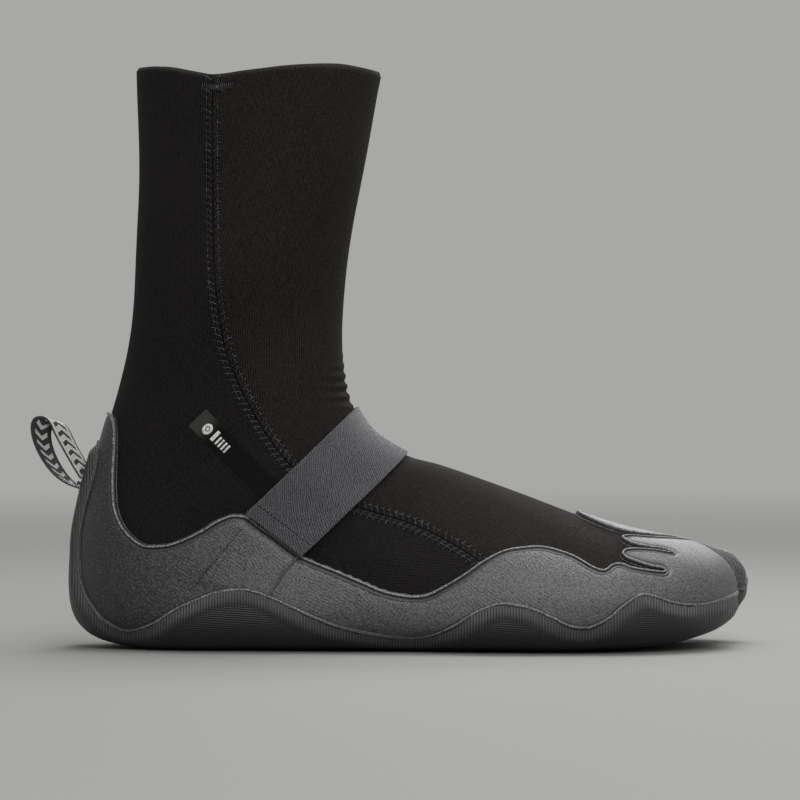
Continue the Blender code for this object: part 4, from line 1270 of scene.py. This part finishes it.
def ribbon_grid(keys, spacing, width):
    """Points and flat coordinates for ribbon that runs along a side-view curve, in line with the boot."""
    line = even_curve(keys, spacing)
    centre = np.column_stack((line[:, 0], np.full(len(line), MIDDLE_Y), line[:, 1]))
    across = np.linspace(-0.5, 0.5, 13) * RIBBON
    run = np.arange(len(line)) * spacing
    uv = np.stack((across[None, :] * np.ones((len(line), 1)), run[:, None] * np.ones((1, 13))), -1)
    return centre[:, None] + across[None, :, None] * width_line * width, uv


points, uv = ribbon_grid(LOOP, 0.8 * MM, 1.0)
loop = sheet("ribbon_loop", points, uv, out=points - points.mean(axis=(0, 1)))
loop.data.materials.clear()
loop.data.materials.append(pale_ribbon)
loop.data.materials.append(dark_ribbon)
thicken(loop, 0.7 * MM, -1.0, edge_slot=1)
soften(loop, 0.15 * MM, 1)
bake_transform(loop)
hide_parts("pull_loop")
points, uv = ribbon_grid([(0.0240, 0.2790), (0.0300, 0.2765), (0.0380, 0.2730)], 0.5 * MM, 0.9)
tail = sheet("ribbon_tail", points, uv)
thicken(tail, 1.4 * MM, 0.0)
finish(tail, dark_ribbon, "boot", "ribbon", "pull_loop_tail")

# ---------------------------------------------------------------------------
# Camera, floor and lights
# A long lens almost level with the ground, a matt grey sheet that fades into
# the same grey backdrop, and three soft lamps: above, in front and behind.
# ---------------------------------------------------------------------------
VIEW_DISTANCE = 2.4
VIEW_ELEVATION = math.radians(1.5)
VIEW_WIDTH = 0.3400
target = Vector((0.0054, 0.0, 0.1052))
bpy.ops.object.camera_add()
camera = bpy.context.object
direction = Vector((0, -math.cos(VIEW_ELEVATION), math.sin(VIEW_ELEVATION)))
camera.location = target + direction * VIEW_DISTANCE
camera.rotation_euler = (-direction).to_track_quat("-Z", "Y").to_euler()
camera.data.sensor_width = 36
camera.data.lens = 36 * VIEW_DISTANCE / VIEW_WIDTH
camera.data.clip_end = 20
bpy.context.scene.camera = camera

BACKDROP = (0.392, 0.392, 0.385)
bpy.ops.object.select_all(action="DESELECT")
bpy.ops.mesh.primitive_plane_add(size=60)
floor = bpy.context.object
floor.name = "studio_floor"
PAPER = (0.31, 0.31, 0.303)
paper, tree, shader = new_material("studio_paper", PAPER, 1.0)
shader.inputs["Specular IOR Level"].default_value = 0.0
shader.inputs["Emission Strength"].default_value = 1.0
coords = tree.nodes.new("ShaderNodeTexCoord")
away = tree.nodes.new("ShaderNodeVectorMath")
away.operation = "LENGTH"
tree.links.new(coords.outputs["Object"], away.inputs[0])
faded = span_of(tree, away.outputs["Value"], 0.5, 1.7, "SMOOTHSTEP")
for stops, socket in (([(0.0, PAPER), (1.0, (0, 0, 0))], "Base Color"),
                      ([(0.0, (0, 0, 0)), (1.0, BACKDROP)], "Emission Color")):
    tree.links.new(ramp(tree, faded, stops), shader.inputs[socket])
floor.data.materials.append(paper)

world = bpy.data.worlds.new("studio")
bpy.context.scene.world = world
world.use_nodes = True
world.node_tree.nodes["Background"].inputs[0].default_value = (*BACKDROP, 1)
world.node_tree.nodes["Background"].inputs[1].default_value = 1.0


def lamp(name, place, aim, size, power, spread=180):
    bpy.ops.object.light_add(type="AREA", location=place)
    light = bpy.context.object
    light.name = name
    light.data.shape = "RECTANGLE"
    light.data.size, light.data.size_y = size
    light.data.energy = power
    light.visible_camera = False
    light.data.spread = math.radians(spread)
    light.rotation_euler = (Vector(aim) - Vector(place)).to_track_quat("-Z", "Y").to_euler()


lamp("overhead", (0.25, 0.15, 1.2), (0.06, 0.0, 0.0), (1.1, 0.7), 13)
lamp("front_soft", (0.35, -1.6, 1.0), (0.03, 0, 0.07), (0.9, 0.8), 16)
lamp("rear_soft", (0.35, 1.3, 0.75), (0.05, 0, 0.05), (1.0, 0.35), 0.65, 55)
bpy.context.scene.view_settings.view_transform = "Standard"
